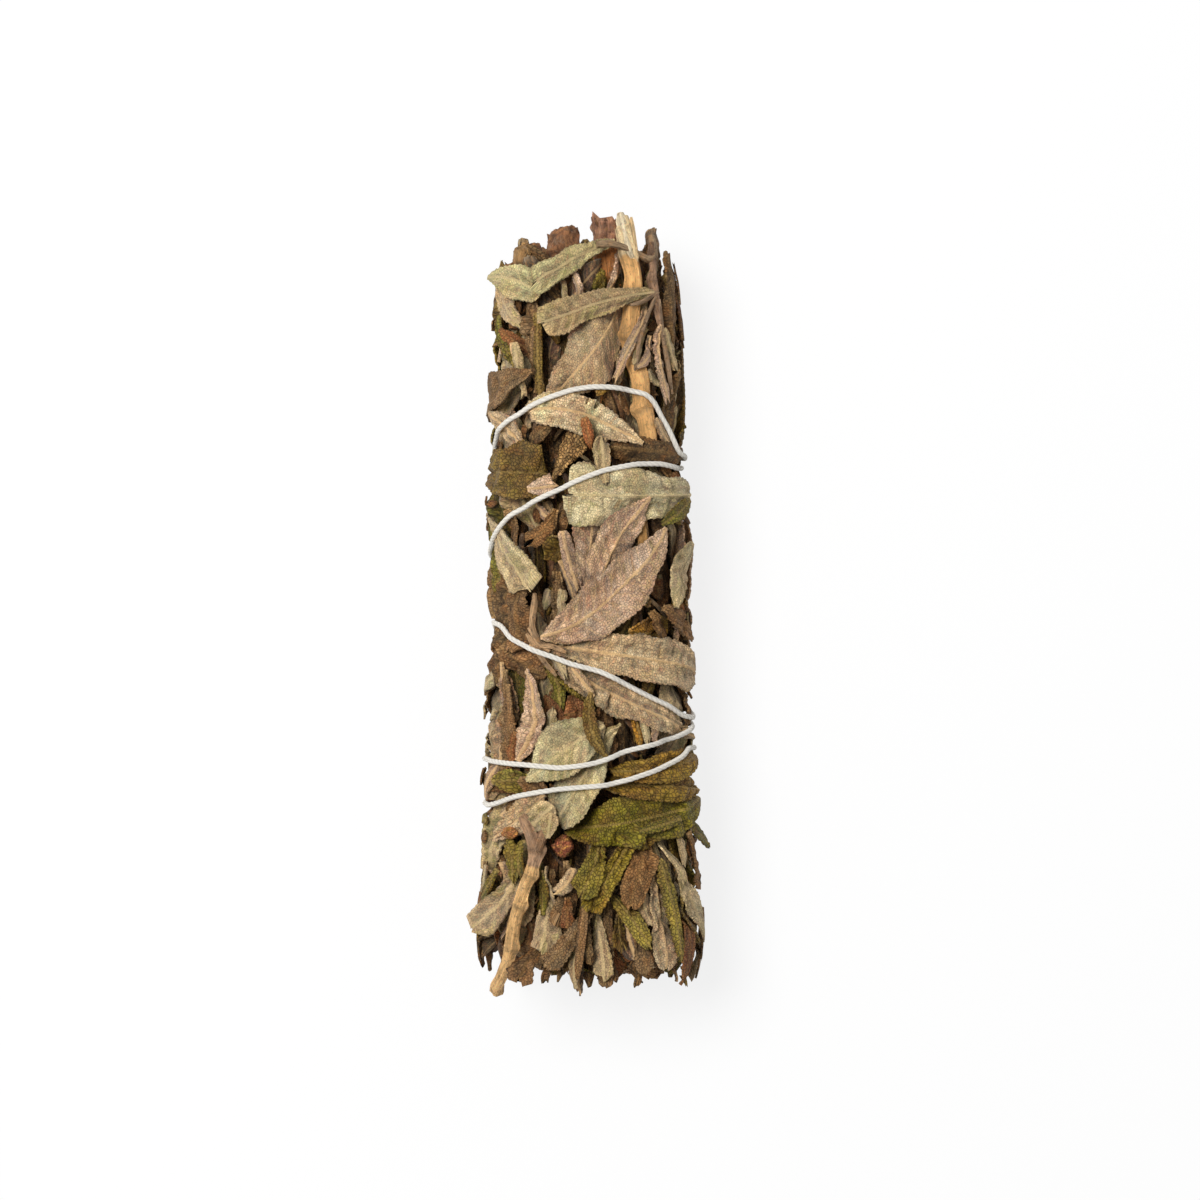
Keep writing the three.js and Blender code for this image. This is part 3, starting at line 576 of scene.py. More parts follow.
def sheet_solid(surface, blade, tone):
    """A closed thin solid from a grid of points: both sides, the lower with fewer faces, and walls."""
    normal = np.cross(np.gradient(surface, axis=0), np.gradient(surface, axis=1))
    normal = normal / np.maximum(np.linalg.norm(normal, axis=2, keepdims=True), 1e-9)
    rows, columns = surface.shape[:2]
    kept = np.unique(np.linspace(0, columns - 1, min(columns, 5)).round().astype(int))
    over, under = surface + normal * LEAF_THICK / 2, (surface - normal * LEAF_THICK / 2)[:, kept]
    top = np.arange(rows * columns).reshape(rows, columns)
    low = rows * columns + np.arange(rows * len(kept)).reshape(rows, len(kept))
    faces = quads(top[:-1, :-1], top[1:, :-1], top[1:, 1:], top[:-1, 1:])
    faces += quads(low[:-1, :-1], low[:-1, 1:], low[1:, 1:], low[1:, :-1])
    faces += quads(top[:-1, 0], low[:-1, 0], low[1:, 0], top[1:, 0])
    faces += quads(top[:-1, -1], top[1:, -1], low[1:, -1], low[:-1, -1])
    faces += [top[0].tolist() + low[0, ::-1].tolist(), top[-1, ::-1].tolist() + low[-1].tolist()]

    def both(grid):
        return np.concatenate([grid.reshape(-1, 3), grid[:, kept].reshape(-1, 3)])

    points = np.concatenate([pressed(over).reshape(-1, 3), pressed(under).reshape(-1, 3)])
    return {"points": points, "faces": faces, "blade": both(blade), "tone": both(tone)}


laid = []               # grids of every leaf and twig laid so far, which are made once the roll is tied


def lay_leaf(piece, tone, form, base, tip, width, bow, free=0.0, nodes=(), fine=True, shade=1.0):
    """Lays one leaf on the pile. Straps are leaves that have rolled up along their length.

    Its free end stands off by so many mm. Shade is a share of its colour, painted shade for leaves that lie
    inside the roll.
    """
    colour, slot, veins, crumple = TONES[tone]
    columns = FEW_COLUMNS if not fine else COLUMNS if width > NARROW else COLUMNS[::2]
    step, sweeps = (ROW_STEP, SWEEPS) if fine else (FEW_ROW_STEP, FEW_SWEEPS)
    across, along, around, place = leaf_plan(form, base, tip, width, bow, columns, step, fine)
    half = np.maximum(np.abs(across).max(axis=1, keepdims=True), 0.1)
    curl = width * (rng.uniform(0.24, 0.38) if form == "strap" else rng.uniform(-0.04, 0.08))
    lift = rng.choice([0, 0, 1, -1]) * rng.uniform(0.1, 0.5)
    tilt = rng.uniform(-0.1, 0.1)
    if not fine:
        curl, lift, tilt, crumple = 0.4 * curl, 0, 0, 0.5 * crumple
    relief, folds = leaf_relief(across, along, half, along.max(), veins, curl, tilt, lift, crumple)
    floor = pile_top(around, place, HOLD_REACH) + LEAF_THICK / 2 + HOLD_GAP
    rest = settle(floor, sweeps)
    sheet = stiffened(rest, floor, min(4, int(along.max() / 8)))
    height = np.maximum(sheet + relief, floor - 0.05)
    heap_up(around, place, height + LEAF_THICK / 2)
    side = across / half
    # Painted shade and light along the pleats: darker in their valleys, lighter on their ridges.
    shade = shade * (1 + PAINTED_FOLD_SHADE * folds / PLEAT_DEPTH)[..., None]
    off = free * np.clip((along / along.max() - 0.35) / 0.65, 0, 1) ** 2
    blade = np.stack([across, along, np.abs(side)], axis=-1)
    laid.append({"piece": piece if nodes else f"{piece}_{slot}", "slot": slot, "nodes": nodes,
                 "around": around, "place": place, "height": height, "free": off, "blade": blade,
                 "tone": shade * leaf_tone(colour, across, along, side, along.max())})


def lay(rows, group):
    """Lays rows of leaves in order. A named one replaces its node. The others join the group's pieces."""
    for name, tone, form, base, tip, width, bow, *free in rows:
        nodes = [name] if name else ()
        lay_leaf(name or group, tone, form, base, tip, width, bow, *free, nodes=nodes)


def one_of(choices):
    """One of the choices, at random."""
    return choices[rng.integers(len(choices))]


def ends_of(around, along, length, turn):
    """Base and tip of a leaf so long, about its middle, turned by so many radians from the spine."""
    reach = (length / 2 * np.sin(turn) / ARC, length / 2 * np.cos(turn))
    return (around - reach[0], along - reach[1]), (around + reach[0], along + reach[1])


# The small leaves pressed on the core, mostly along the roll, painted darker as painted shade for how deep
# they lie.
SMALL_LEAVES, CRUSHED_PAINTED_SHADE = 330, 0.5
INNER_TONES = ("dark", "brown", "darkolive", "olivebrown", "darkgrey", "goldolive", "olive", "rust", "green",
               "grey", "brownpale", "olivegrey")
for _ in range(SMALL_LEAVES):
    around, along = rng.uniform(0, 360), rng.uniform(-44, 44)
    length, turn = rng.uniform(8, 20), rng.normal(0, 0.35) + np.pi * rng.integers(2)
    base, tip = ends_of(around, along, length, turn)
    form = one_of(("strap", "lance", "strap", "ovate"))
    lay_leaf("crushed", one_of(INNER_TONES), form, base, tip, rng.uniform(2.2, 5), rng.uniform(-1, 1),
             fine=False, shade=CRUSHED_PAINTED_SHADE)

# ---- Cut stems -----------------------------------------------------------------------------------------
# Woody stems run along the middle of the roll, and their cut or broken ends stand out at one end of it. The
# bark is thin, ridged lengthwise and drawn together at the nodes. The ends show fibres round a soft pith.
FINE_END = 12           # mm from the cut end in which a stem is modelled finely
FINE_STEP, COARSE_STEP = 0.3, 2.5       # mm from ring to ring there, and beyond
SECTION = 16            # points round a stem
RIDGES, LUMPS = 0.08, 0.05      # height of the bark's ridges and lumps, as shares of the radius
NODE_SWELL, NODE_REACH = 0.22, 0.7      # share of the radius, and mm along the stem
KNOBS = 0.13            # unevenness near the cut end, as a share of the radius
END_RINGS = np.array([0.9, 0.72, 0.5, 0.28, 0.06])[:, None]     # rings of the cut end, as shares of its rim
END_DEPTHS = np.array([0.25, 0.9, 1, 0.9, 0.85])[:, None]       # their depths, as shares of the hollow
STRIPS = np.linspace(-0.9, 0.9, 5)[None, :]     # places across a stem, as shares of its radius


def tube_rings(path, up, turn, reach):
    """Rings of points reach mm out from a path, at turn radians about it from the side nearest to up.

    The two directions across the path are up less its part along the path, and the one square to that.
    """
    heading = np.gradient(path, axis=0)
    heading = heading / np.linalg.norm(heading, axis=1, keepdims=True)
    normal = up - (up * heading).sum(axis=1, keepdims=True) * heading
    normal = normal / np.linalg.norm(normal, axis=1, keepdims=True)
    square = np.cross(heading, normal)
    return (path[:, None] + (reach * np.cos(turn))[..., None] * normal[:, None]
            + (reach * np.sin(turn))[..., None] * square[:, None])


def run_along(path):
    """Length along a path up to each of its points."""
    return np.concatenate([[0], np.cumsum(np.linalg.norm(np.diff(path, axis=0), axis=1))])


def bark_tube(path, radius, up, tone, sections=SECTION):
    """A stem along a path, in mm: its radius, with lengthwise ridges and gentle lumps."""
    turn = np.linspace(0, 2 * np.pi, sections, endpoint=False)[None, :]
    along = run_along(path)[:, None] + 0 * turn
    size = radius.reshape(len(path), -1)
    relief = 1 + RIDGES * np.cos(5 * turn + 0.12 * along + rng.uniform(0, 6))
    relief = relief + 0.6 * RIDGES * np.cos(9 * turn - 0.2 * along + rng.uniform(0, 6))
    relief = relief + LUMPS * ripples(np.sin(turn) * 2, along, 5)
    reach = size * relief
    # Painted shade and light: the bark's colour is darker in its furrows and lighter on its ridges.
    painted_ridge_shade = 1 + 2.0 * (relief - 1)
    rings = tube_rings(path, up, turn, reach)
    grain = np.stack([reach * np.cos(turn), reach * np.sin(turn), along], axis=-1)
    shade = 1 + 0.16 * ripples(np.cos(turn) * 2, along, 6) + 0.08 * ripples(np.sin(turn) * 3, along, 2)
    return closed_tube(rings, grain, tone * np.clip(shade * painted_ridge_shade, 0.4, 1.6)[..., None])


# Dried bark is dull, streaked lengthwise, and flecked dark, grey and orange where it wears. Split wood and
# young bark are smoother and more evenly coloured. Patches: how many to a mm, their colour and its share.
BARK_PATCHES = ((1.7, 0x3A2616, 0.7), (0.8, 0xA6927A, 0.4), (1.3, 0xC08A54, 0.5))


def bark_material(name, streaks, roughness):
    """Stem skin from the piece's tone and grain: fine fibres along the stem, flecks, and ridges of bark."""
    made, tree, skin = new_material(name)
    grain = add(tree, "Attribute", attribute_name="blade").outputs["Vector"]
    tone = add(tree, "Attribute", attribute_name="tone").outputs["Color"]
    drawn_out = add(tree, "VectorMath", {0: grain, 1: (1, 1, 0.12)}, operation="MULTIPLY").outputs[0]
    fibre = add(tree, "TexNoise", {"Vector": drawn_out, "Scale": 4.5, "Detail": 5.0,
                                   "Roughness": 0.75}).outputs["Fac"]
    shade = add(tree, "MapRange", {"Value": fibre, "From Min": 0.36, "From Max": 0.64, "To Min": 1 - streaks,
                                   "To Max": 1 + streaks}).outputs["Result"]
    colour = add(tree, "VectorMath", {0: tone, "Scale": shade}, operation="SCALE").outputs[0]
    for scale, patch_tone, share in BARK_PATCHES:
        patch = add(tree, "TexNoise", {"Vector": grain, "Scale": scale, "Detail": 5.0,
                                       "Roughness": 0.7}).outputs["Fac"]
        amount = add(tree, "MapRange", {"Value": patch, "From Min": 0.52, "From Max": 0.64,
                                        "To Max": share * streaks * 2}).outputs["Result"]
        colour = add(tree, "Mix", {"Factor": amount, 6: colour, 7: (*linear(patch_tone), 1)},
                     data_type="RGBA").outputs[2]
    finish(tree, skin, colour, fibre, 0.6, {"Roughness": roughness, "Specular IOR Level": 0.35})
    return made


STEM_SKINS = {"stem_bark": bark_material("dried_sage_bark", 0.5, 0.72),
              "stem_wood": bark_material("split_sage_wood", 0.28, 0.6)}


def heap_stem(path, radius):
    """Raises the pile to the top of a stem, in five strips across it."""
    around = np.degrees(np.arctan2(path[:, 0] - SPINE[0], path[:, 2] - SPINE[2]))[:, None]
    reach = np.hypot(path[:, 0] - SPINE[0], path[:, 2] - SPINE[2])[:, None]
    around = around + STRIPS * radius[:, None] / ARC * MEAN_RADIUS / np.maximum(reach, 3)
    top = reach + radius[:, None] * np.sqrt(1 - STRIPS ** 2)
    heap_up(around, path[:, 1:2] - SPINE[1] + 0 * STRIPS, top)


def cut_stem(node, bark, fibres, slant, ragged, hollow, nodes_at=(), flare=0.0, tip_bark=None, tip_length=0):
    """A stem along the roll, over the length and thickness of its box in the frame.

    Its end slants by so many mm for each mm across, is ragged by so many mm, and is hollow to so many mm
    below its rim. Nodes are swellings at distances from the cut end. The tip may be of another bark.
    """
    low, high = (np.array(corner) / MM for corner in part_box(node))
    middle, full = (low + high) / 2, (high[0] - low[0]) / 2
    fine = high[1] - np.arange(0, FINE_END, FINE_STEP)[::-1]
    places = np.concatenate([np.arange(low[1], high[1] - FINE_END, COARSE_STEP), fine])
    wander = 0.12 * full
    path = np.stack([middle[0] + wander * np.sin(places / 7 + middle[0]), places,
                     middle[2] + wander * np.cos(places / 6 + middle[0])], axis=-1)
    from_end = high[1] - places
    radius = full * (0.94 + flare * np.exp(-from_end / 1.6))
    for node_at in nodes_at:
        radius = radius * (1 + NODE_SWELL * np.exp(-((from_end - node_at) / NODE_REACH) ** 2))
    tube = bark_tube(path, radius, np.array([[0, 0, 1.0]]), linear(bark))
    rings = tube["points"].reshape(len(places), SECTION, 3)
    tones = tube["tone"].reshape(len(places), SECTION, 3)
    middles = rings.mean(axis=1, keepdims=True)
    out = rings - middles
    knobs = KNOBS * ripples(out[..., 0] + 5 * full, out[..., 2] + rings[..., 1], 1.8)
    knobs = (knobs * np.exp(-from_end / 6)[:, None])[..., None]
    rings = middles + out * (1 + knobs)
    # Painted shade and light: near the cut end the bark is darker in the hollows between its knobs and paler
    # on them.
    tones = tones * np.clip(1 + 3 * knobs, 0.35, 1.7)
    if tip_bark:
        on_tip = (from_end < tip_length)[:, None, None]
        tones = np.where(on_tip, tones / linear(bark) * linear(tip_bark), tones)

    turn = np.arange(SECTION) / SECTION * 2 * np.pi
    jag = ragged * (0.6 * ripples(3 * np.cos(turn), 3 * np.sin(turn), 2.2) + rng.uniform(-0.5, 0.5, SECTION))
    centre = rings[-1].mean(axis=0)
    inner = centre + (rings[-1] - centre)[None] * END_RINGS[..., None]
    inner[..., 1] += -(hollow * END_DEPTHS) + ragged * rng.uniform(-0.5, 0.5, inner.shape[:2])
    near_end = np.exp(-from_end / 0.8)[:, None]
    rings[..., 1] += near_end * jag
    rings = np.concatenate([rings, inner])
    lean = np.exp(-np.maximum(0, high[1] - rings[..., 1]) / 2.5)
    rings[..., 1] += slant * (rings[..., 0] - centre[0]) * lean
    rings[..., 1] += np.minimum(0, high[1] + 0.3 - rings[..., 1].max())
    rim = linear(fibres) * rng.uniform(0.45, 1.35, (len(END_RINGS), SECTION, 1))
    # Painted shade: the inner rings of a hollowed end are darker the deeper the hollow.
    rim[1:] *= 1 - 0.45 * np.clip(hollow, 0, 1)
    tones = np.concatenate([tones, rim])
    grain = np.concatenate([tube["blade"].reshape(len(places), SECTION, 3),
                            inner - centre + (0, 0, from_end.max())])
    build(node, closed_tube(rings, grain, tones), STEM_SKINS["stem_bark"], "stem_bark", [node])
    heap_stem(path, radius)


# Node, bark, fibres of the end, slant, raggedness, hollow, places of nodes, flare, tip's bark and length.
cut_stem("stem_heart", 0x8A6A48, 0xB99263, 0.2, 0.4, 0.5)
cut_stem("stem_tan_stub", 0xB07A48, 0xCFA976, -0.2, 0.1, -0.75, (1.0, 2.9, 4.8), 0.0, 0xCB9C60, 4.5)
cut_stem("stem_round_stub", 0x9A6A44, 0xB07A4C, 0.1, 0.15, -0.6, (0.9, 3.2), 0.0, 0xA8704A, 3)
cut_stem("stem_wide_stub", 0x82583A, 0xA66F44, 0.25, 0.45, -0.7, (2.2, 5.5), 0.0, 0x8F6140, 3)
cut_stem("stem_split_stub", 0xB8763F, 0x8C6650, -0.1, 0.8, 1.1, (4.4, 9.2), 0.24, 0xB98567, 4)
cut_stem("stem_grey_stub", 0x9A8064, 0xB8966A, 0.3, 0.3, -0.4, (2.0, 5.0))
cut_stem("stem_low_left", 0x8A6442, 0xB08B5C, 0.1, 0.35, 0.5, (4.0,))
cut_stem("stem_low_mid", 0xA87C4A, 0xC4A273, 0.25, 0.45, 0.6, (5.0,))
cut_stem("stem_low_right", 0x80593A, 0xA88458, -0.2, 0.4, 0.5, (3.5,))

# ---- What is rolled inside -----------------------------------------------------------------------------
# Past the core's ends the roll opens out into leaves rolled up along their length and thin side stems,
# packed side by side and cut or broken off at slightly different lengths.
INNER_GAP = 2.3         # mm from one to the next
INNER_MARGIN = 1.9      # mm that they keep inside the core's outline
INNER_LENGTH = 22       # mm
PACK_SHIFT = 0.8        # mm that each is off its even place, at most
STALK_ODDS = 0.25       # how often it is a thin stem and not a leaf
STALK_BARKS = (0x6E4F33, 0x8B6B48, 0xA27C50, 0x5A4330)


def packed_places(columns, heights):
    """Places in mm from the spine, each a little off where its column and its height meet."""
    for x, z in np.stack(np.meshgrid(columns, heights), axis=-1).reshape(-1, 2):
        yield x + rng.uniform(-PACK_SHIFT, PACK_SHIFT), z + rng.uniform(-PACK_SHIFT, PACK_SHIFT)


def free_leaf(surface, side, half, t, length, colour, shade=1.0):
    """A leaf's thin solid from its surface. Side runs from -1 to 1 across it, t from 0 to 1 along it."""
    across, along, side = side * half, t * length + 0 * side, side + 0 * t
    blade = np.stack([across, along, np.abs(side)], axis=-1)
    return sheet_solid(surface, blade, shade * leaf_tone(colour, across, along, side, length))


def build_by_slot(group, solids_of):
    """One piece for each slot, from lists of solids for each."""
    for slot, solids in solids_of.items():
        build(f"{group}_{slot}", gather(solids), LEAF_SKINS[slot], slot)


def rolled_leaf(x, z, start, end, width, tone):
    """A leaf rolled into a loose tube along the spine: an arc about as long as the leaf is wide."""
    colour, _, _, crumple = TONES[tone]
    length = abs(end - start)
    t = np.linspace(0, 1, int(length / 0.8))[:, None]
    side = np.linspace(-1, 1, 9)[None, :]
    p, q = LEAF_FORMS["strap"]
    half = width / 2 * np.maximum(t ** p * (1 - t) ** q * 1.6, 0.15)
    half = half * (1 + 0.12 * ripples(t * length, 0 * t, 3))
    coil = width / rng.uniform(3.2, 5.0)
    turn = side * half / coil + rng.uniform(0, 6) + 0.8 * t
    reach = coil * (1 + 0.25 * side ** 2) + crumple * ripples(side * width, t * length, 2.5)
    drift = rng.uniform(-0.05, 0.05, 2) * length * (t - 0.3)[..., None]
    surface = np.stack([x + drift[..., 0] + reach * np.sin(turn), start + (end - start) * t + 0 * side,
                        z + drift[..., 1] + reach * np.cos(turn)], axis=-1)
    return free_leaf(surface, side, half, t, length, colour)


def thin_stem(x, z, start, end, tone):
    """A thin side stem along the spine, bent a little."""
    t = np.linspace(0, 1, 16)
    bend = rng.uniform(-0.8, 0.8, 2)
    path = np.stack([x + bend[0] * t ** 2, start + (end - start) * t, z + bend[1] * t ** 2], axis=-1)
    radius = rng.uniform(0.35, 0.75) * (1 - 0.15 * t) * (1 + 0.1 * ripples(t * 15, 0 * t, 4))
    return bark_tube(path, radius, np.array([[0, 0, 1.0]]), linear(tone), 8)


rolled, stalks = {}, []
# Towards each end, and how far out they reach there.
for toward, reach_out in ((1, (44, 50.5)), (-1, (46.5, 52))):
    for x, z in packed_places(np.arange(-12.6, 12.7, INNER_GAP), np.arange(-9.8, 9.9, INNER_GAP)):
        room = core_radius(math.degrees(math.atan2(x, z)), toward * 46) - INNER_MARGIN - math.hypot(x, z)
        kind, end = rng.uniform(), rng.uniform(*reach_out)
        if room < 0:
            continue
        start, end = SPINE[1] + toward * (end - INNER_LENGTH), SPINE[1] + toward * end
        if kind < STALK_ODDS:
            bark = one_of(STALK_BARKS)
            stalks.append(thin_stem(SPINE[0] + x, SPINE[2] + z, min(start, end), max(start, end), bark))
        else:
            tone = one_of(INNER_TONES)
            solid = rolled_leaf(SPINE[0] + x, SPINE[2] + z, start, end, rng.uniform(3.5, 7.5), tone)
            rolled.setdefault(TONES[tone][1], []).append(solid)
build_by_slot("rolled", rolled)
build("side_stems", gather(stalks), STEM_SKINS["stem_bark"], "stem_bark")

# ---- Leaves of the sides and the underside -------------------------------------------------------------
# The longest leaves go round the sides and underneath, mostly along the roll. Underneath they are pressed
# flat by its weight. They are laid in a loose pattern, and the ten largest underneath go on last.
SIDE_TONES = ("grey", "tan", "pink", "olive", "darkolive", "pale", "goldolive", "greygreen", "brown", "tan",
              "olivegrey", "green", "greengrey", "rust", "darkgrey", "goldbrown")
SIDE_FORMS = ("lance", "lance", "spoon", "strap", "lance", "ovate")
LOWEST, HIGHEST = -50, 48       # mm along the spine, between which they keep
LEFT_FROM, LEFT_LOWEST = 262, -44       # degrees, mm: the roll is shorter on its left side
for turn_round in np.arange(64, 304, 19):
    for along in np.arange(-42, 44, 12.5):
        around, along = turn_round + rng.uniform(-9, 9), along + rng.uniform(-5, 5)
        length, turn = rng.uniform(15, 30), rng.normal(0, 0.32) + np.pi * rng.integers(2)
        lowest = LEFT_LOWEST if around > LEFT_FROM else LOWEST
        base, tip = ends_of(around, along, length, turn)
        base, tip = ((end[0], np.clip(end[1], lowest, HIGHEST)) for end in (base, tip))
        form = one_of(SIDE_FORMS)
        width = rng.uniform(1.8, 3.4) if form == "strap" else rng.uniform(3.8, 8.2)
        lay_leaf("side", one_of(SIDE_TONES), form, base, tip, width, rng.uniform(-1.6, 1.6))

# Thin broken twigs, leaf stalks and crumbs of leaf fill the gaps between the leaves.
LAID_STEP = 0.35        # mm between a laid stem's sections
FEW_SECTIONS = 8        # up to so many points round it, a laid stem also has half as many sections
ROUTE_EVEN = 11         # steps over which its way is evened out
ROD_SWEEPS = 400        # in which it settles on the pile
TIP_REACH = 1.2         # mm in which it tapers at each end
JOINT_SWELL, JOINT_REACH = 0.35, 0.75       # share of the radius, and mm along the stem
RING_DARK, RING_OFF, RING_REACH = 0.45, 0.5, 0.35       # share of the colour, and mm along the stem


def lay_stem(piece, route, radius, tone, slot, joints=(), tips=(0.7, 0.7), bare=(0, 0), nodes=True,
             sections=14):
    """Lays a stem on the pile along a route of (angle, distance along): like a rod, it bridges the hollows.

    Joints are swellings with a dark ring, at lengths from its start. Tips are its radius at both ends, as
    shares. Bare is a length from its start over which it has lost its bark, and the colour there.
    """
    route = np.array(route, dtype=float)
    flat = np.stack([route[:, 0] * ARC, route[:, 1]], axis=1)
    reach = run_along(flat)
    step = LAID_STEP if sections > FEW_SECTIONS else 2 * LAID_STEP
    spots = np.linspace(0, reach[-1], max(8, int(reach[-1] / step)))
    across, along = (evened(np.interp(spots, reach, flat[:, axis]), ROUTE_EVEN, mode="reflect",
                            reflect_type="odd") for axis in (0, 1))
    around = across / ARC
    floor = pile_top(around[:, None], along[:, None], radius * 0.8)[:, 0] + radius * 0.9
    height = floor.copy()
    for _ in range(ROD_SWEEPS):
        ends = np.pad(height, 1, mode="edge")
        height = np.maximum(floor, (ends[:-2] + ends[2:]) / 2)
    height = evened(height, ROUTE_EVEN, mode="edge")
    size = radius * (1 + 0.08 * ripples(spots, 0 * spots, 5))
    ring = np.ones(len(spots))
    for joint in joints:
        size = size * (1 + JOINT_SWELL * np.exp(-((spots - joint) / JOINT_REACH) ** 2))
        ring = ring * (1 - RING_DARK * np.exp(-((spots - joint - RING_OFF) / RING_REACH) ** 2))
    start = tips[0] + (1 - tips[0]) * np.clip(spots / TIP_REACH, 0, 1)
    size = size * start * (tips[1] + (1 - tips[1]) * np.clip((spots[-1] - spots) / TIP_REACH, 0, 1))
    tones = np.where((spots < bare[0])[:, None, None], linear(bare[1]), linear(tone)) * ring[:, None, None]
    laid.append({"piece": piece, "slot": slot, "nodes": [piece] if nodes else (), "around": around,
                 "place": along, "height": height, "size": size, "tone": tones, "sections": sections})
    heap_up(around[:, None] + STRIPS * radius / ARC, along[:, None] + 0 * STRIPS,
            height[:, None] + radius * np.sqrt(1 - STRIPS ** 2))


TWIG_BARKS = (0x8B7050, 0x6E4F33, 0xA07C50, 0x5A4330, 0x94805A, 0x7A5230)
CRUMB_TONES = ("rust", "brown", "goldolive", "tan", "olive", "rustdark", "pale", "gold", "goldbrown")
TWIG_COUNT, CRUMB_COUNT = 90, 230
FLANK_CLEAR = 16        # degrees to each side of the widest line, where no twig would stay
CRUMB_PAINTED_SHADE, FRINGE_PAINTED_SHADE = 0.75, 0.62      # painted shade: shares of their full colour, for pieces down between the leaves

for _ in range(TWIG_COUNT):
    around, along, turn = rng.uniform(0, 360), rng.uniform(-46, 40), rng.normal(0, 0.5)
    length, bend = rng.uniform(5, 12), rng.normal(0, 1.2, 2)
    if abs(abs((around + 180) % 360 - 180) - 90) < FLANK_CLEAR:
        continue
    spots = np.linspace(-0.5, 0.5, 4)
    across = length * spots * math.sin(turn) + bend[0] * spots ** 2 * 4 + bend[1] * spots ** 3 * 8
    route = np.stack([around + across / ARC, along + length * spots * math.cos(turn)], axis=1)
    lay_stem("crumbs_twigs", route, rng.uniform(0.22, 0.5), one_of(TWIG_BARKS), "stem_bark", (), (0.6, 0.8),
             nodes=False, sections=7)
for _ in range(CRUMB_COUNT):
    around, along, turn = rng.uniform(0, 360), rng.uniform(-48, 44), rng.uniform(0, 6)
    length = rng.uniform(1.0, 3.6)
    tip = (around + length * math.sin(turn) / ARC, along + length * math.cos(turn))
    lay_leaf("crumbs", one_of(CRUMB_TONES), "ovate", (around, along), tip, length * rng.uniform(0.4, 0.9),
             rng.uniform(-0.3, 0.3), fine=False, shade=CRUMB_PAINTED_SHADE)

FRINGE_TONES = ("dark", "brown", "darkgrey", "rustdark", "olivebrown", "grey", "darkolive", "brownpale",
                "brown", "pink")


def fringe(count, along_from, along_to, start, end):
    """Narrow leaf tips and torn ends, laid side by side along the roll at one of its ends."""
    for _ in range(count):
        around, turn = rng.uniform(start, end), rng.normal(0, 5)
        width, first = rng.uniform(1.0, 2.8), rng.uniform(*along_from)
        form = one_of(("torn", "strap", "torn", "lance", "strap"))
        lay_leaf("fringe", one_of(FRINGE_TONES), form, (around, first),
                 (around + turn, rng.uniform(*along_to)), width, rng.uniform(-0.5, 0.5), shade=FRINGE_PAINTED_SHADE)


fringe(40, (-44, -36), (-53, -48), -40, 262)
fringe(10, (-41, -35), (-46, -43), 262, 322)
fringe(36, (34, 42), (45, 50.5), 60, 300)

# Node, tone, form, base and tip (angle, distance along), width in mm, bow of the midrib in mm.
lay([
    ("leaf_under_01", "grey", "lance", (112, 44), (134, 12), 9, 0),
    ("leaf_under_02", "tan", "lance", (168, 46), (164, 10), 10, 0),
    ("leaf_under_03", "grey", "spoon", (210, 44), (202, 13), 9, 0),
    ("leaf_under_04", "olive", "lance", (248, 43), (242, 12), 9, 0),
    ("leaf_under_05", "pink", "lance", (112, 12), (134, -20), 10, 0),
    ("leaf_under_06", "grey", "lance", (188, 14), (176, -33), 11, 0),
    ("leaf_under_07", "brown", "lance", (240, 10), (226, -24), 10, 0),
    ("leaf_under_08", "olive", "spoon", (136, -20), (124, -50), 9, 0),
    ("leaf_under_09", "grey", "spoon", (176, -27), (186, -51), 11, 0),
    ("leaf_under_10", "tan", "spoon", (232, -22), (240, -49), 9, 0),
], "under")

# ---- Leaves of the top, laid from the ends to the middle -----------------------------------------------
# The leaves that show from above were laid last, whole or torn, curled and folded as they dried. Each row is
# one leaf: the node that it replaces, if any, its tone, form, base and tip (angle, distance along), width in
# mm, bow of the midrib in mm, and mm by which its tip stands free, if it does.

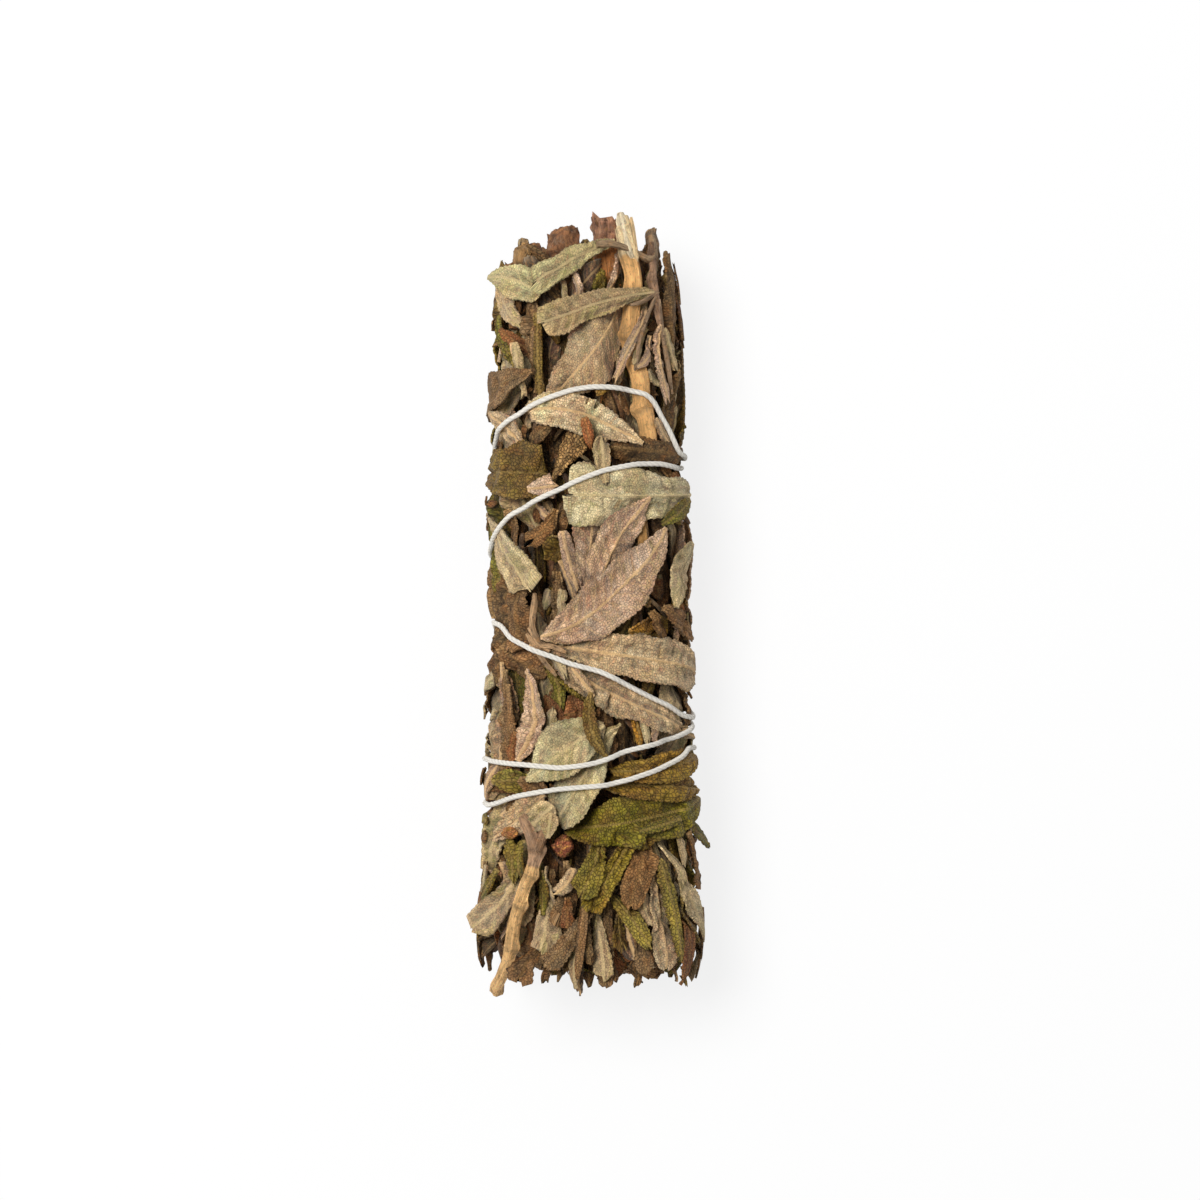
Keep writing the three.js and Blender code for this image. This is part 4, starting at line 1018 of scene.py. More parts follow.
# Leaf tips and small curled leaves make the fringe of the lower end.
lay([
    ("", "grey", "torn", (3, -41), (9, -51), 3.0, 0.4),
    ("", "dark", "strap", (-5, -41), (0, -49), 1.8, 0),
    ("", "olivebrown", "torn", (23, -42.5), (23, -47), 3.4, 0),
    ("", "grey", "lance", (35, -36.5), (37, -44), 3, 0),
    ("", "darkgrey", "spoon", (32, -44), (34, -50.5), 3, 0),
    ("leaf_end_01", "tan", "spoon", (46, -35), (47, -50), 4.2, 0),
    ("", "grey", "torn", (53, -31), (54, -42.5), 2, 0),
    ("", "greengold", "strap", (44, -35), (56, -48.5), 2.2, 0.5),
    ("", "rustdark", "lance", (66, -42), (64, -52.5), 2.6, -0.4),
    ("", "darkolive", "lance", (63, -38.5), (77, -47), 4, 0),
    ("leaf_end_02", "pale", "lance", (56, -37.5), (86, -47), 3.2, 0.3),
    ("", "pale", "torn", (53, -30), (59, -38), 1.5, 0),
    ("", "grey", "strap", (61, -29.5), (61, -36), 1.5, 0),
    ("", "brown", "torn", (69, -31.5), (86, -39.5), 2.4, 0),
    ("", "green", "strap", (68, -28), (88, -34), 2.4, 0, 1.4),
    ("", "brown", "torn", (-43, -46), (-45, -52), 3.6, 0),
    ("", "dark", "spoon", (-35, -46), (-30, -49.5), 3.2, 0),
    ("leaf_end_03", "grey", "torn", (-33, -36), (-31, -47), 4.8, 0.4),
    ("", "green", "lance", (-35, -36.5), (-31, -42.5), 2.6, 0),
    ("", "darkgrey", "torn", (-15, -35), (-19, -43.5), 3.4, 0.4),
    ("", "tan", "strap", (-10, -36), (-22, -39.5), 2.2, 0.5),
    ("", "rustdark", "torn", (-14, -40), (-14, -44.5), 2.4, 0),
    ("leaf_end_04", "darkgrey", "torn", (4, -40), (-27, -49.5), 3.2, 0.5),
    ("", "brown", "strap", (-3, -41.5), (-8, -51), 1.3, 0),
    ("", "greengold", "strap", (18, -40), (36, -47), 2.6, 0),
    ("leaf_end_05", "goldbrown", "spoon", (46, -30.5), (25, -41.5), 4.3, -0.5),
    ("leaf_end_06", "oliveyellow", "torn", (35, -31), (1, -41.5), 3.6, -0.5),
    ("leaf_end_07", "olive", "torn", (9, -31), (-5, -39.5), 4.4, 0.3),
    ("", "grey", "spoon", (-52, -37.5), (-50, -44), 2.8, 0),
    ("leaf_end_08", "grey", "torn", (-51, -35.5), (-66, -44.8), 5.2, 0.5, 2.0),
    ("", "green", "torn", (-59, -36.5), (-72, -40.5), 1.6, 0),
    ("", "olive", "strap", (-58, -32.5), (-49, -38), 2.4, 0.4),
    ("", "green", "torn", (-47, -32.5), (-44, -37), 1.6, 0),
], "end")

# The lower third: long leaves bent round under the string, the widest with their grey-green undersides out.
lay([
    ("", "dark", "lance", (-68, 5), (-67, -11), 5, 0),
    ("", "brown", "lance", (-65, -6), (-37, -10), 4.4, 0),
    ("", "brownpale", "lance", (-60, -8), (-76, -27), 3.6, 1.2),
    ("", "darkgrey", "lance", (-56, -9), (-64, -24.5), 2.6, 0.5),
    ("", "brown", "lance", (-53, -11), (-60, -29), 2.2, 0.4),
    ("", "rust", "strap", (-48, -17.5), (-55, -22.5), 1.5, 0),
    ("", "green", "ovate", (-30, -12), (-21, -15.5), 3, 0),
    ("", "rust", "lance", (-23, -18.5), (-36, -12.5), 4, 0),
    ("", "grey", "strap", (-33, -18.5), (-28, -14.5), 2.4, 0),
    ("", "rust", "torn", (8, -14.2), (-17, -15.2), 5.6, 0),
    ("", "pale", "ovate", (-43, -17.5), (-33, -20), 2.6, 0),
    ("", "dark", "lance", (-47, -21.5), (-39, -22.5), 2.2, 0),
    ("leaf_lower_01", "pink", "lance", (-47, -21.5), (-47, -9), 3.2, -1.9),
    ("", "green", "strap", (-36, -7), (-21, -14), 2.6, 0.5),
    ("", "olive", "lance", (-24, -10), (7, -14.5), 3.2, 0.9),
    ("", "brown", "strap", (11, -12.5), (22, -23), 3.8, -0.4),
    ("", "gold", "strap", (31, -15), (33, -19.5), 1.4, 0),
    ("", "pale", "strap", (34, -15.5), (38, -19), 1.2, 0),
    ("", "pink", "strap", (43, -16.5), (47, -19), 2.4, 0),
    ("leaf_lower_02", "tan", "lance", (-37, -6.5), (82, -18.5), 5, -0.5),
    ("", "tan", "strap", (-42, -4), (2, -12.5), 1.8, 0.7),
    ("", "pale", "strap", (-42, -4), (-16, -10), 1.6, 0.3),
    ("", "gold", "torn", (30, -3.8), (62, -4.4), 5.2, 0),
    ("", "goldbrown", "torn", (43, -1), (58, -5), 2.6, 0),
    ("leaf_lower_03", "tan", "spoon", (-42, -5.5), (94, -9.5), 6.8, 0.4),
    ("", "olive", "lance", (-65, -24.5), (-40, -24), 3.6, 0),
    ("", "brown", "lance", (-46, -24), (-29, -27), 3.6, 0),
    ("leaf_lower_04", "brightolive", "lance", (92, -27), (-20, -31), 7.2, 0.6),
    ("", "green", "lance", (60, -29.5), (31, -31), 2, 0),
    ("leaf_lower_05", "goldolive", "lance", (84, -25.8), (11, -25), 4.6, -0.4),
    ("leaf_lower_06", "goldolive", "lance", (86, -20.8), (17, -23), 4.4, 0.6),
    ("leaf_lower_07", "greygreen", "spoon", (21, -16.5), (-23, -30), 6.8, -0.4),
    ("leaf_lower_08", "greygreen", "lance", (10, -16.6), (-40, -24.2), 7.4, -0.6),
    ("", "darkolive", "lance", (1, -12), (12, -21), 2.4, -1.4),
    ("", "tan", "lance", (-67, -32.5), (-30, -26), 4.4, 0),
    ("", "pale", "ovate", (-23, -27.5), (-40, -31), 3.8, 0),
    ("", "grey", "ovate", (-24, -28.5), (-26, -32), 2.6, 0),
], "lower")

# The upper third: broad tan leaves folded over each other, dark leaves with rust-coloured edges, and three
# short cut stems. A pale stem, split and stripped of its bark at the cut end, lies between the layers.
for route, radius, bark in (([(-55, 38), (-57, 44), (-62, 49.6)], 0.95, 0xC79A62),
                            ([(-62, 38), (-65, 44), (-70, 47)], 0.8, 0xB27A44),
                            ([(-43, 38), (-46, 44), (-51, 47.8)], 0.9, 0x9A8468)):
    lay_stem("side_stubs", route, radius, bark, "stem_bark", (6, 8.5, 11), (0.8, 0.8), nodes=False)
lay([
    ("", "olive", "ovate", (10, 42.5), (12, 46), 3.6, 0),
    ("", "grey", "strap", (-27, 45), (-26, 41.5), 1.6, 0.4),
    ("", "pink", "strap", (-11, 41.5), (-16, 45.5), 1.8, -0.8),
    ("leaf_upper_01", "dark", "strap", (72, 49), (63, 32.5), 3, 0),
    ("", "pink", "lance", (37, 49), (16, 42.5), 2.4, 0),
    ("leaf_upper_02", "grey", "lance", (-86, 45.5), (-50, 38), 3.2, 0),
    ("", "green", "lance", (-68, 33), (-71, 40), 3.2, 0.5),
    ("", "rust", "ovate", (-47, 34), (-67, 38), 2.4, 0),
    ("", "pink", "strap", (-57, 36), (-54, 32.5), 1.6, 0),
    ("", "darkgrey", "lance", (-47, 43), (-45, 29), 2.4, 0.3),
    ("", "grey", "strap", (-52, 36), (-50, 28.5), 1.5, 0.2),
    ("", "darkolive", "strap", (-38, 40), (-36, 28), 1.6, 0.3),
    ("", "dark", "ovate", (-42, 46), (-31, 41.5), 3.2, 0),
    ("leaf_upper_03", "sage", "ovate", (-36, 42.5), (-82, 45.5), 5.0, -0.8, 1.2),
    ("", "tan", "lance", (48, 43), (23, 36), 3.2, 0.6),
    ("leaf_upper_04", "tan", "lance", (33, 42.5), (-30, 28.5), 9.5, 0.8),
    ("", "grey", "lance", (36, 35.5), (20, 30), 2.6, 0),
], "upper")
lay_stem("stem_pale_split", [(35.5, 52), (37, 48), (38, 44.5), (39, 38.5), (40, 31.5), (43, 26.5), (45, 22)],
         1.2, 0xFFC47C, "stem_wood", (15, 25.2), (0.95, 0.85), (4, 0xFFE2AE))
for route, radius, bark in (([(33, 54), (34, 50), (36, 47.5)], 0.75, 0xFFEBC4),
                            ([(36.8, 53.6), (37, 50), (38, 47)], 0.7, 0xFFE0AA),
                            ([(42, 53.4), (39.5, 50), (39, 47.5)], 0.3, 0xF4D09A)):
    lay_stem("split_end", route, radius, bark, "stem_wood", (), (0.6, 0.5), nodes=False)
lay([
    ("leaf_upper_05", "olivegrey", "torn", (50, 43), (-33, 38.5), 4.9, -0.6),
    ("", "olivegrey", "strap", (48, 38), (31, 33), 1.8, 0),
    ("", "pink", "strap", (51, 41), (19, 31), 1.6, -0.9),
    ("", "pink", "lance", (48, 37), (33, 32.5), 1.8, 0.8),
    ("", "pale", "ovate", (44, 32), (53, 30), 2, 0),
    ("leaf_upper_06", "pink", "strap", (54, 38.5), (56, 28), 1.9, -0.6),
    ("", "grey", "strap", (56, 38), (67, 32.5), 1.6, 0),
    ("leaf_upper_07", "sage", "torn", (22, 49.8), (-39, 44.2), 4.4, -0.9),
    ("leaf_upper_08", "darkgrey", "lance", (-118, 26.5), (-39, 32), 5.4, 0),
    ("", "tan", "lance", (-49, 21.5), (-76, 26.5), 3.8, -0.4),
    ("leaf_upper_09", "dark", "lance", (71, 32.5), (65, 21.5), 3.4, 0),
    ("", "brown", "ovate", (24, 28.5), (31, 26), 2.2, 0.5),
    ("", "tan", "strap", (47, 25.5), (63, 21.5), 1.8, -0.3),
], "upper")

# A short twig, with the bases of its broken side shoots, is caught under the leaves at the cut end.
lay_stem("twig_sprig", [(57, 50), (54, 48), (54, 46.5), (51, 45), (52, 42), (54, 38.5)], 0.55,
         0xAC8668, "stem_bark", (2.2, 5.5, 9))
lay_stem("sprig_stalks", [(6, 49.4), (16, 49.6), (28, 49.2), (40, 48.3), (51, 47.4), (57, 48), (59, 51)],
         0.5, 0xA98C6A, "stem_bark", (), (0.9, 0.8), nodes=False, sections=9)
for route in ([(53, 43), (44, 40), (36, 36), (32, 32)],
              [(53, 42), (55, 37), (60, 32.5), (61, 29)], [(52, 43), (40, 41.5), (30, 41)]):
    lay_stem("sprig_stalks", route, 0.3, 0xA38566, "stem_bark", (), (1.2, 0.6), nodes=False, sections=9)

# The middle third lies over both others, between the two windings of the string.
lay_stem("barked_stems", [(-8, 12), (-9, 6), (-8, 0)], 0.6, 0xCFA062, "stem_wood", nodes=False)
lay_stem("barked_stems", [(40, 15), (41, 9), (41, 2)], 0.8, 0xC99657, "stem_wood", nodes=False)
lay([
    ("", "dark", "strap", (-31, 24.5), (-42, 22), 2.4, 0),
    ("", "dark", "strap", (17, 21.5), (80, 20.5), 3.4, 0),
    ("leaf_middle_01", "netted", "torn", (-31, 16.8), (-5, 23.6), 4.6, 0.4),
    ("leaf_middle_02", "tanyellow", "lance", (-52, 26.5), (36, 22), 5.6, 1.9),
    ("", "rust", "strap", (-4, 25.5), (1, 21.5), 1.9, 0),
    ("", "brown", "lance", (-16, 16.5), (-31, 8.5), 3.2, 0.4),
    ("", "brownpale", "torn", (-44, 13.6), (-27, 11.5), 1.8, 0),
    ("", "goldbrown", "torn", (-24, 13), (-40, 8.5), 2.6, 0.6),
    ("", "brown", "lance", (-59, 13), (-50, 8), 2.8, 0),
    ("", "brown", "strap", (-48, 8), (-46, 2), 2.2, -1.9),
    ("", "olivebrown", "ovate", (-21, 9), (-31, 6), 3, 0),
    ("", "tan", "strap", (-25, 6), (-14, -0.5), 1.8, 0.4),
    ("", "pink", "strap", (-18, 10), (-10, 2), 2.2, -0.3),
    ("", "darkgrey", "lance", (-25, 4.5), (-32, -4), 2.8, 0.3),
    ("", "grey", "strap", (-20, 2), (-25, -3), 1.8, 0),
    ("", "brown", "strap", (-50, 3), (-54, -6.5), 3.6, 0),
    ("leaf_middle_03", "pale", "torn", (-86, 12.5), (-42, 2.5), 5.6, 0.6),
    ("leaf_middle_04", "olivebrown", "torn", (-108, 18.5), (-30, 18), 8.2, 0),
    ("", "pink", "torn", (-41, 15.8), (-24, 16.2), 3.6, 0),
    ("leaf_middle_06", "pink", "torn", (-3, 0), (3, 12.8), 6.4, 0),
    ("leaf_middle_05", "palegreen", "torn", (104, 15.5), (-14, 15), 8.8, 0.4),
    ("", "grey", "ovate", (8, 23), (11, 16.5), 3.2, 0),
    ("", "green", "lance", (77, 14.5), (49, 11), 2.6, 0),
    ("leaf_middle_07", "pink", "ovate", (6, 1.5), (40, 14.5), 7.2, 0.9),
    ("", "brown", "lance", (51, -0.5), (86, -5), 3, 0.3),
    ("leaf_middle_08", "pink", "lance", (-33, -4.5), (51, 10.5), 8, -2.6),
    ("leaf_middle_09", "pale", "lance", (83, 8.5), (60, -0.5), 5, -0.8),
], "middle")

# The stalks of the long leaves run together at the left, where the string crosses them.
for route in ([(-37, 1.5), (-39, -1.5), (-40, -3.5), (-35, -5.2), (-28, -6.5)],
              [(-43, -4), (-39.5, -6), (-30, -8.2), (-22, -9.8)],
              [(-41, -3.2), (-34, -6), (-28, -5.6), (-16, -6.6)]):
    lay_stem("leaf_stalks", route, 0.42, 0xC39C72, "stem_bark", (), (0.7, 0.5), nodes=False, sections=9)

# A long bare stem with a fork lies on the outside, along the lower end.
lay_stem("stem_long_foot", [(-44, -29), (-39, -31), (-35, -33.8), (-37, -36), (-41.5, -38.5), (-45, -41),
                            (-47.5, -43.5), (-49.5, -46), (-53, -49), (-62, -51.6), (-75, -53.6)], 0.84,
         0xFFCB87, "stem_bark", (5, 8.5, 13, 19), (0.6, 1.3), (7.5, 0xB99270))
lay_stem("stem_foot_fork", [(-29, -30.5), (-31.5, -32), (-34.5, -34)], 0.75, 0xA07A59, "stem_bark", (4,),
         (0.6, 0.9), nodes=False)

# ---- The roll is pressed and tied ----------------------------------------------------------------------
# Tying presses the loose pile down to the finished roll. Deep layers give way most, and the outermost keep
# their shape. Then each leaf gets its thickness, and each twig its bark.
FIRM_DEPTH = 1.6        # mm at the outside that keep their shape
PRESS_DEPTH = 3.6       # mm under the core's outline to where nothing moves
PROUD, PROUD_MOST = 0.35, 0.8   # mm over the outer leaves' middle height: freely, and what is added at most
OUTER_SHARE = 0.72      # of the wrap's depth, at which the middle height of the outer leaves comes to lie
PAINTED_HEM_SHADOW = 0.55        # painted shadow: how much darker a leaf is where it lies the shadow's full depth under what is beside it
WOOD_PAINTED_SHADOW = 0.1          # the same painted shadow, much weaker on bare wood
# mm under what is beside it at which the painted shadow is full
PAINTED_SHADOW_DEPTH = 0.5
SHADOW_SWEEPS, LOOSE_SWEEPS = 4, 90        # that make the pile's map smooth enough to paint shadow by, and to press by
THINNER_RIGHT = 0.9     # mm that the roll is thinner on its right towards the cut end
LEAST_ROOM = 0.3        # mm that is left of what is squeezed


def smoothed(grid, sweeps):
    """A map in which each cell has taken the mean of the four beside it, so many times."""
    for _ in range(sweeps):
        ends = np.pad(grid, ((0, 0), (1, 1)), mode="edge")
        grid = (np.roll(grid, 1, axis=0) + np.roll(grid, -1, axis=0) + ends[:, :-2] + ends[:, 2:]) / 4
    return grid


depth_there = WRAP_DEPTH * (1 + WRAP_LEAN * np.cos(np.radians(cell_angles)))
firm_level = core_radius(cell_angles, cell_places) - PRESS_DEPTH
finished = core_radius(cell_angles, cell_places) + OUTER_SHARE * depth_there
loose, beside = smoothed(pile, LOOSE_SWEEPS), smoothed(pile, SHADOW_SWEEPS)
toward_cut_end = np.clip((cell_places - 8) / 15, 0, 1)
finished = finished - THINNER_RIGHT * toward_cut_end * np.clip(np.sin(np.radians(cell_angles)), 0, 1)
fallen = END_TAPER * past_end ** 2
finished = finished - fallen
firm_level = firm_level - fallen


def squeezed(around, along, radius):
    """Radius after tying: the outer FIRM_DEPTH moves in as a whole, what is below is squeezed evenly.

    The string then draws in what is near it, by PINCH at the outside and by nothing at the firm level.
    """
    low, top, outside = (between_cells(grid, around, along) for grid in (firm_level, loose, finished))
    moved = top - outside
    room = np.maximum(top - FIRM_DEPTH - low, 0.5)
    below = low + (radius - low) * np.maximum(room - moved, LEAST_ROOM) / room
    radius = np.where(radius > top - FIRM_DEPTH, radius - moved, np.where(radius > low, below, radius))
    over = np.maximum(radius - outside - PROUD, 0)
    radius = radius - over + PROUD_MOST * (1 - np.exp(-over / PROUD_MOST))
    depth = np.clip((radius - low) / (outside - low), 0, 1.15)
    return radius - PINCH * depth * between_cells(string_pull, around, along)


made = {}
for thing in laid:
    around, place = thing["around"], thing["place"]
    rise = thing.get("size", 0)
    surface = squeezed(around, place, thing["height"] + rise) - rise + thing.get("free", 0)
    surface = on_roll(around, place, surface)
    # Painted shadow: each piece is darker where it lies below the smoothed pile beside it, under its
    # neighbours' edges.
    under = between_cells(beside, around, place) - thing["height"] - rise
    shadow_share = WOOD_PAINTED_SHADOW if thing["slot"] == "stem_wood" else PAINTED_HEM_SHADOW
    painted_shadow = 1 - shadow_share * np.clip(under / PAINTED_SHADOW_DEPTH, 0, 1)
    tone = thing["tone"] * painted_shadow.reshape(painted_shadow.shape + (1,) * (thing["tone"].ndim - painted_shadow.ndim))
    if "blade" in thing:
        solid = sheet_solid(surface, thing["blade"], tone)
    else:
        solid = bark_tube(surface, thing["size"], outward(surface), tone, thing["sections"])
        solid["points"] = pressed(solid["points"])
    made.setdefault((thing["piece"], thing["slot"], tuple(thing["nodes"])), []).append(solid)
# One leaf's upper side is coarsely netted, and the long stem's young bark is smooth.
OWN_SKINS = {"leaf_middle_01": NETTED_SKIN,
             "stem_long_foot": bark_material("smooth_young_sage_bark", 0.4, 0.65)}
for (piece, slot, nodes), solids in made.items():
    skin = OWN_SKINS.get(piece) or LEAF_SKINS.get(slot) or STEM_SKINS[slot]
    build(piece, gather(solids), skin, slot, nodes)
pile = squeezed(cell_angles, cell_places, pile)

# Two dried flower buds stick to the roll beside the long stem. The chaff on them is a lighter orange.
CHAFF_TONE = linear(0xD29446)


def bud(around, along, size, tone):
    """A dried flower bud on the pile: an egg, deeply crumpled, from rings round its long axis."""
    length, width, height = size
    t = np.linspace(0.02, 0.98, 15)[:, None]
    turn = np.linspace(0, 2 * np.pi, 20, endpoint=False)[None, :]
    swell = np.sin(np.pi * t) ** 0.7
    crumple = 1 + 0.16 * ripples(np.cos(turn) * width, t * length + np.sin(turn) * width, 1.7)
    crumple = crumple + 0.10 * ripples(np.sin(turn) * width + t * length, np.cos(turn) * width, 0.8)
    across, up = width / 2 * swell * crumple * np.sin(turn), height / 2 * swell * crumple * np.cos(turn)
    rest = pile_top(np.array([[around]]), np.array([[along]]), width / 3)[0, 0] + height * 0.15
    place = along + (t - 0.5) * length + 0 * turn
    rings = on_roll(around + across / ARC, place, rest + up)
    shade = 1 + 0.35 * ripples(across, place, 1.3)
    speck = np.clip(ripples(across, place, 0.9) * 2 - 0.9, 0, 1)[..., None]
    colour = linear(tone) * np.clip(shade, 0.4, 1.6)[..., None] * (1 - speck) + CHAFF_TONE * speck
    return closed_tube(rings, np.stack([across, place, 0.5 + 0 * place], axis=-1), colour)


buds = [bud(-50, -31.4, (1.8, 2.6, 2.0), 0xA8683C), bud(-21, -33.2, (3.4, 3.4, 2.4), 0x9A5138)]
build("flower_buds", gather(buds), LEAF_SKINS["leaf_brown"], "leaf_brown")

# ---- Leaf tips packed in the lower end -----------------------------------------------------------------
# Seen from its end the roll is full of leaf tips. They come out side by side between the wrapped leaves,
# and most are folded over towards the middle, so that their faces close the end off.
TIP_GAP = 2.1           # mm from one to the next
TIP_MARGIN = 0.6        # mm that they keep inside the core's outline at the sides, and more at the top
# The tips are painted lighter than their tones, as painted light on the end of the roll, which lies in
# shade.
TIP_LENGTH, TIP_ROWS, TIP_PAINTED_LIGHT = 15, 16, 1.2
BEND_FROM, BEND_OVER = 0.55, 0.45       # shares of its length: from where a tip bends, and over how much
TIP_LEAST = 0.12        # narrowest that it gets, as a share of its width
TIP_TONES = ("grey", "olive", "brownpale", "tan", "green", "brown", "greengrey", "goldolive", "pink",
             "olivegrey", "goldbrown", "sage", "rust", "darkgrey")


def folded_tip(x, z, end, width, bent, heading, form, tone):
    """A leaf along the spine that bends over near its tip, in an arc of a circle."""
    colour, _, _, crumple = TONES[tone]
    t = np.linspace(0, 1, TIP_ROWS)[:, None]
    side = np.linspace(-1, 1, 9)[None, :]
    turned = bent * np.clip((t - BEND_FROM) / BEND_OVER, 0, 1)
    step = TIP_LENGTH / (TIP_ROWS - 1)
    onward, over = np.cumsum(np.cos(turned)) * step, np.cumsum(np.sin(turned)) * step
    p, q = LEAF_FORMS[form]
    most = (p / (p + q)) ** p * (q / (p + q)) ** q
    half = width / 2 * np.maximum(t ** p * (1 - t) ** q / most, TIP_LEAST)
    half = half * (1 + 0.10 * ripples(t * TIP_LENGTH, 0 * t, 2.5))
    across, along = side * half, t * TIP_LENGTH + 0 * side
    raised = rng.uniform(-0.6, 0.6) * np.abs(across) + 3 * crumple * ripples(across, along, 3.5)
    toward = np.array([math.sin(heading), 0, math.cos(heading)])
    beside = np.array([math.cos(heading), 0, -math.sin(heading)])
    middle = np.stack([x + 0 * onward, end + onward.max() - onward, z + 0 * onward], axis=-1)
    middle = middle + over[:, None] * toward
    face = np.cos(turned)[..., None] * toward + np.sin(turned)[..., None] * np.array([0, 1.0, 0])
    surface = middle[:, None] + across[..., None] * beside + raised[..., None] * face
    return free_leaf(surface, side, half, t, TIP_LENGTH, colour, TIP_PAINTED_LIGHT)


tips = {}
for x, z in packed_places(np.arange(-13.6, 13.7, TIP_GAP), np.arange(-11.5, 12.6, TIP_GAP)):
    reach = math.hypot(x, z)
    if core_radius(math.degrees(math.atan2(x, z)), -46) - TIP_MARGIN * (1 + 2 * z / reach) < reach:
        continue
    tone, form = one_of(TIP_TONES), one_of(("ovate", "spoon", "lance"))
    heading = math.atan2(-x, -z) + rng.normal(0, 0.8)
    end = SPINE[1] - rng.uniform(47.5, 51.5)
    width, bent = rng.uniform(4, 8), rng.uniform(0.1, 1.5)
    solid = folded_tip(SPINE[0] + x, SPINE[2] + z, end, width, bent, heading, form, tone)
    tips.setdefault(TONES[tone][1], []).append(solid)
build_by_slot("packed_tips", tips)

# ---- The string ----------------------------------------------------------------------------------------
# One length of natural cotton string, three strands twisted together, is wound round the roll twice at each
# third and crosses it slantwise in between. It is pulled tight, so between high places it runs straight.
STRANDS = 3
TWIST_LENGTH = 2.7      # mm in which a strand goes once round the string
STRING_SECTION = 12
GROOVE, STRAND = 0.86, 0.16             # radius between the strands, and what a strand adds, as shares
GROOVE_PAINTED_SHADE, STRAND_PAINTED_LIGHT = 0.78, 0.24    # the same for its colour: painted shade in the grooves and painted light on the strands
HULL_REACH = 40         # degrees to each side over which the string can bridge a hollow
HUG = 0.35              # share of a bridged hollow's depth into which the leaves still let it sink


def string_material():
    """Cotton: off-white staple fibres running with each strand, fuzzy, and darker between the strands, where
    the tone holds painted shade.
    """
    made, tree, skin = new_material("natural_cotton_string")
    lay_of_fibres = add(tree, "Attribute", attribute_name="blade").outputs["Vector"]
    tone = add(tree, "Attribute", attribute_name="tone").outputs["Color"]
    drawn_out = add(tree, "VectorMath", {0: lay_of_fibres, 1: (1, 0.22, 1)},
                    operation="MULTIPLY").outputs[0]
    fibre = add(tree, "TexNoise", {"Vector": drawn_out, "Scale": 9.0, "Detail": 3.0,
                                   "Roughness": 0.7}).outputs["Fac"]
    shade = add(tree, "MapRange", {"Value": fibre, "From Min": 0.3, "From Max": 0.7, "To Min": 0.86,
                                   "To Max": 1.08}).outputs["Result"]
    colour = add(tree, "VectorMath", {0: tone, "Scale": shade}, operation="SCALE").outputs[0]
    finish(tree, skin, colour, fibre, 0.12, {"Roughness": 0.9, "Specular IOR Level": 0.25,
                                             "Sheen Weight": 0.25, "Sheen Roughness": 0.5})
    return made


STRING_SKIN = string_material()
STRING_TONE = linear(0xF6F0E4)


def string_tube(path, up, section=STRING_SECTION, ends=(1, 1)):
    """Twisted string along a path: a circle pressed into three round lobes, which turn about the path."""
    turn = np.linspace(0, 2 * np.pi, section, endpoint=False)[None, :]
    along = run_along(path)[:, None]
    twisted = turn - 2 * np.pi * along / TWIST_LENGTH
    bulge = np.abs(np.cos(twisted * STRANDS / 2))
    taper = np.interp(along, [0, 1.0, along[-1, 0] - 1.0, along[-1, 0]], [ends[0], 1, 1, ends[1]])
    reach = STRING_RADIUS * (GROOVE + STRAND * bulge) * taper
    rings = tube_rings(path, up, turn, reach)
    fibre = np.stack([twisted * STRING_RADIUS, along + 0 * turn, reach], axis=-1)
    # Painted shade and light: the tone is darker in the grooves between the strands and lighter on their
    # crowns.
    tone = STRING_TONE * (GROOVE_PAINTED_SHADE + STRAND_PAINTED_LIGHT * bulge)[..., None]
    return closed_tube(rings, fibre, tone)


# Between any two places that hold it up, the string runs straight. Seen along the spine, such a line passes
# at a b sin(p + q) / (b sin p + a sin q), if it is held up at radius b, p before, and at radius a, q after.
floor = pile_top(string_angles[:, None], string_places[:, None], STRING_RADIUS)[:, 0] + STRING_RADIUS * 0.8
bridged = floor.copy()
steps = np.arange(2, int(HULL_REACH / STRING_STEP), 2)
for before in steps:
    for after in steps:
        ahead, behind = floor[before + after:], floor[:-(before + after)]
        left_turn, right_turn = np.radians(before * STRING_STEP), np.radians(after * STRING_STEP)
        chord = ahead * behind * math.sin(left_turn + right_turn)
        chord = chord / (behind * math.sin(left_turn) + ahead * math.sin(right_turn))
        middle = slice(before, len(floor) - after)
        bridged[middle] = np.maximum(bridged[middle], chord)
string_height = np.maximum(floor, bridged - HUG * (bridged - floor))
for _ in range(2):
    string_height = evened(string_height, STRING_EVEN, mode="edge")
string_path = on_roll(string_angles, string_places, string_height)
string_solid = string_tube(string_path, outward(string_path))
build("cotton_string", string_solid, STRING_SKIN, "string", ["cotton_string"])

# The string's two ends are each tied into the winding with a small overhand knot and cut off short.
KNOT_POINTS, KNOT_SECTION = 150, 10
KNOT_SIZE = (0.33, 0.25, 0.24)          # mm for each unit of the trefoil: across, along and up
KNOT_REACH, TAIL_REACH = 1.2, 0.4       # mm round them in which the pile holds them up
TAIL_BEND, CUT_SPREAD = 0.5, 1.35       # mm to the side, and how much wider a tail is at its cut end


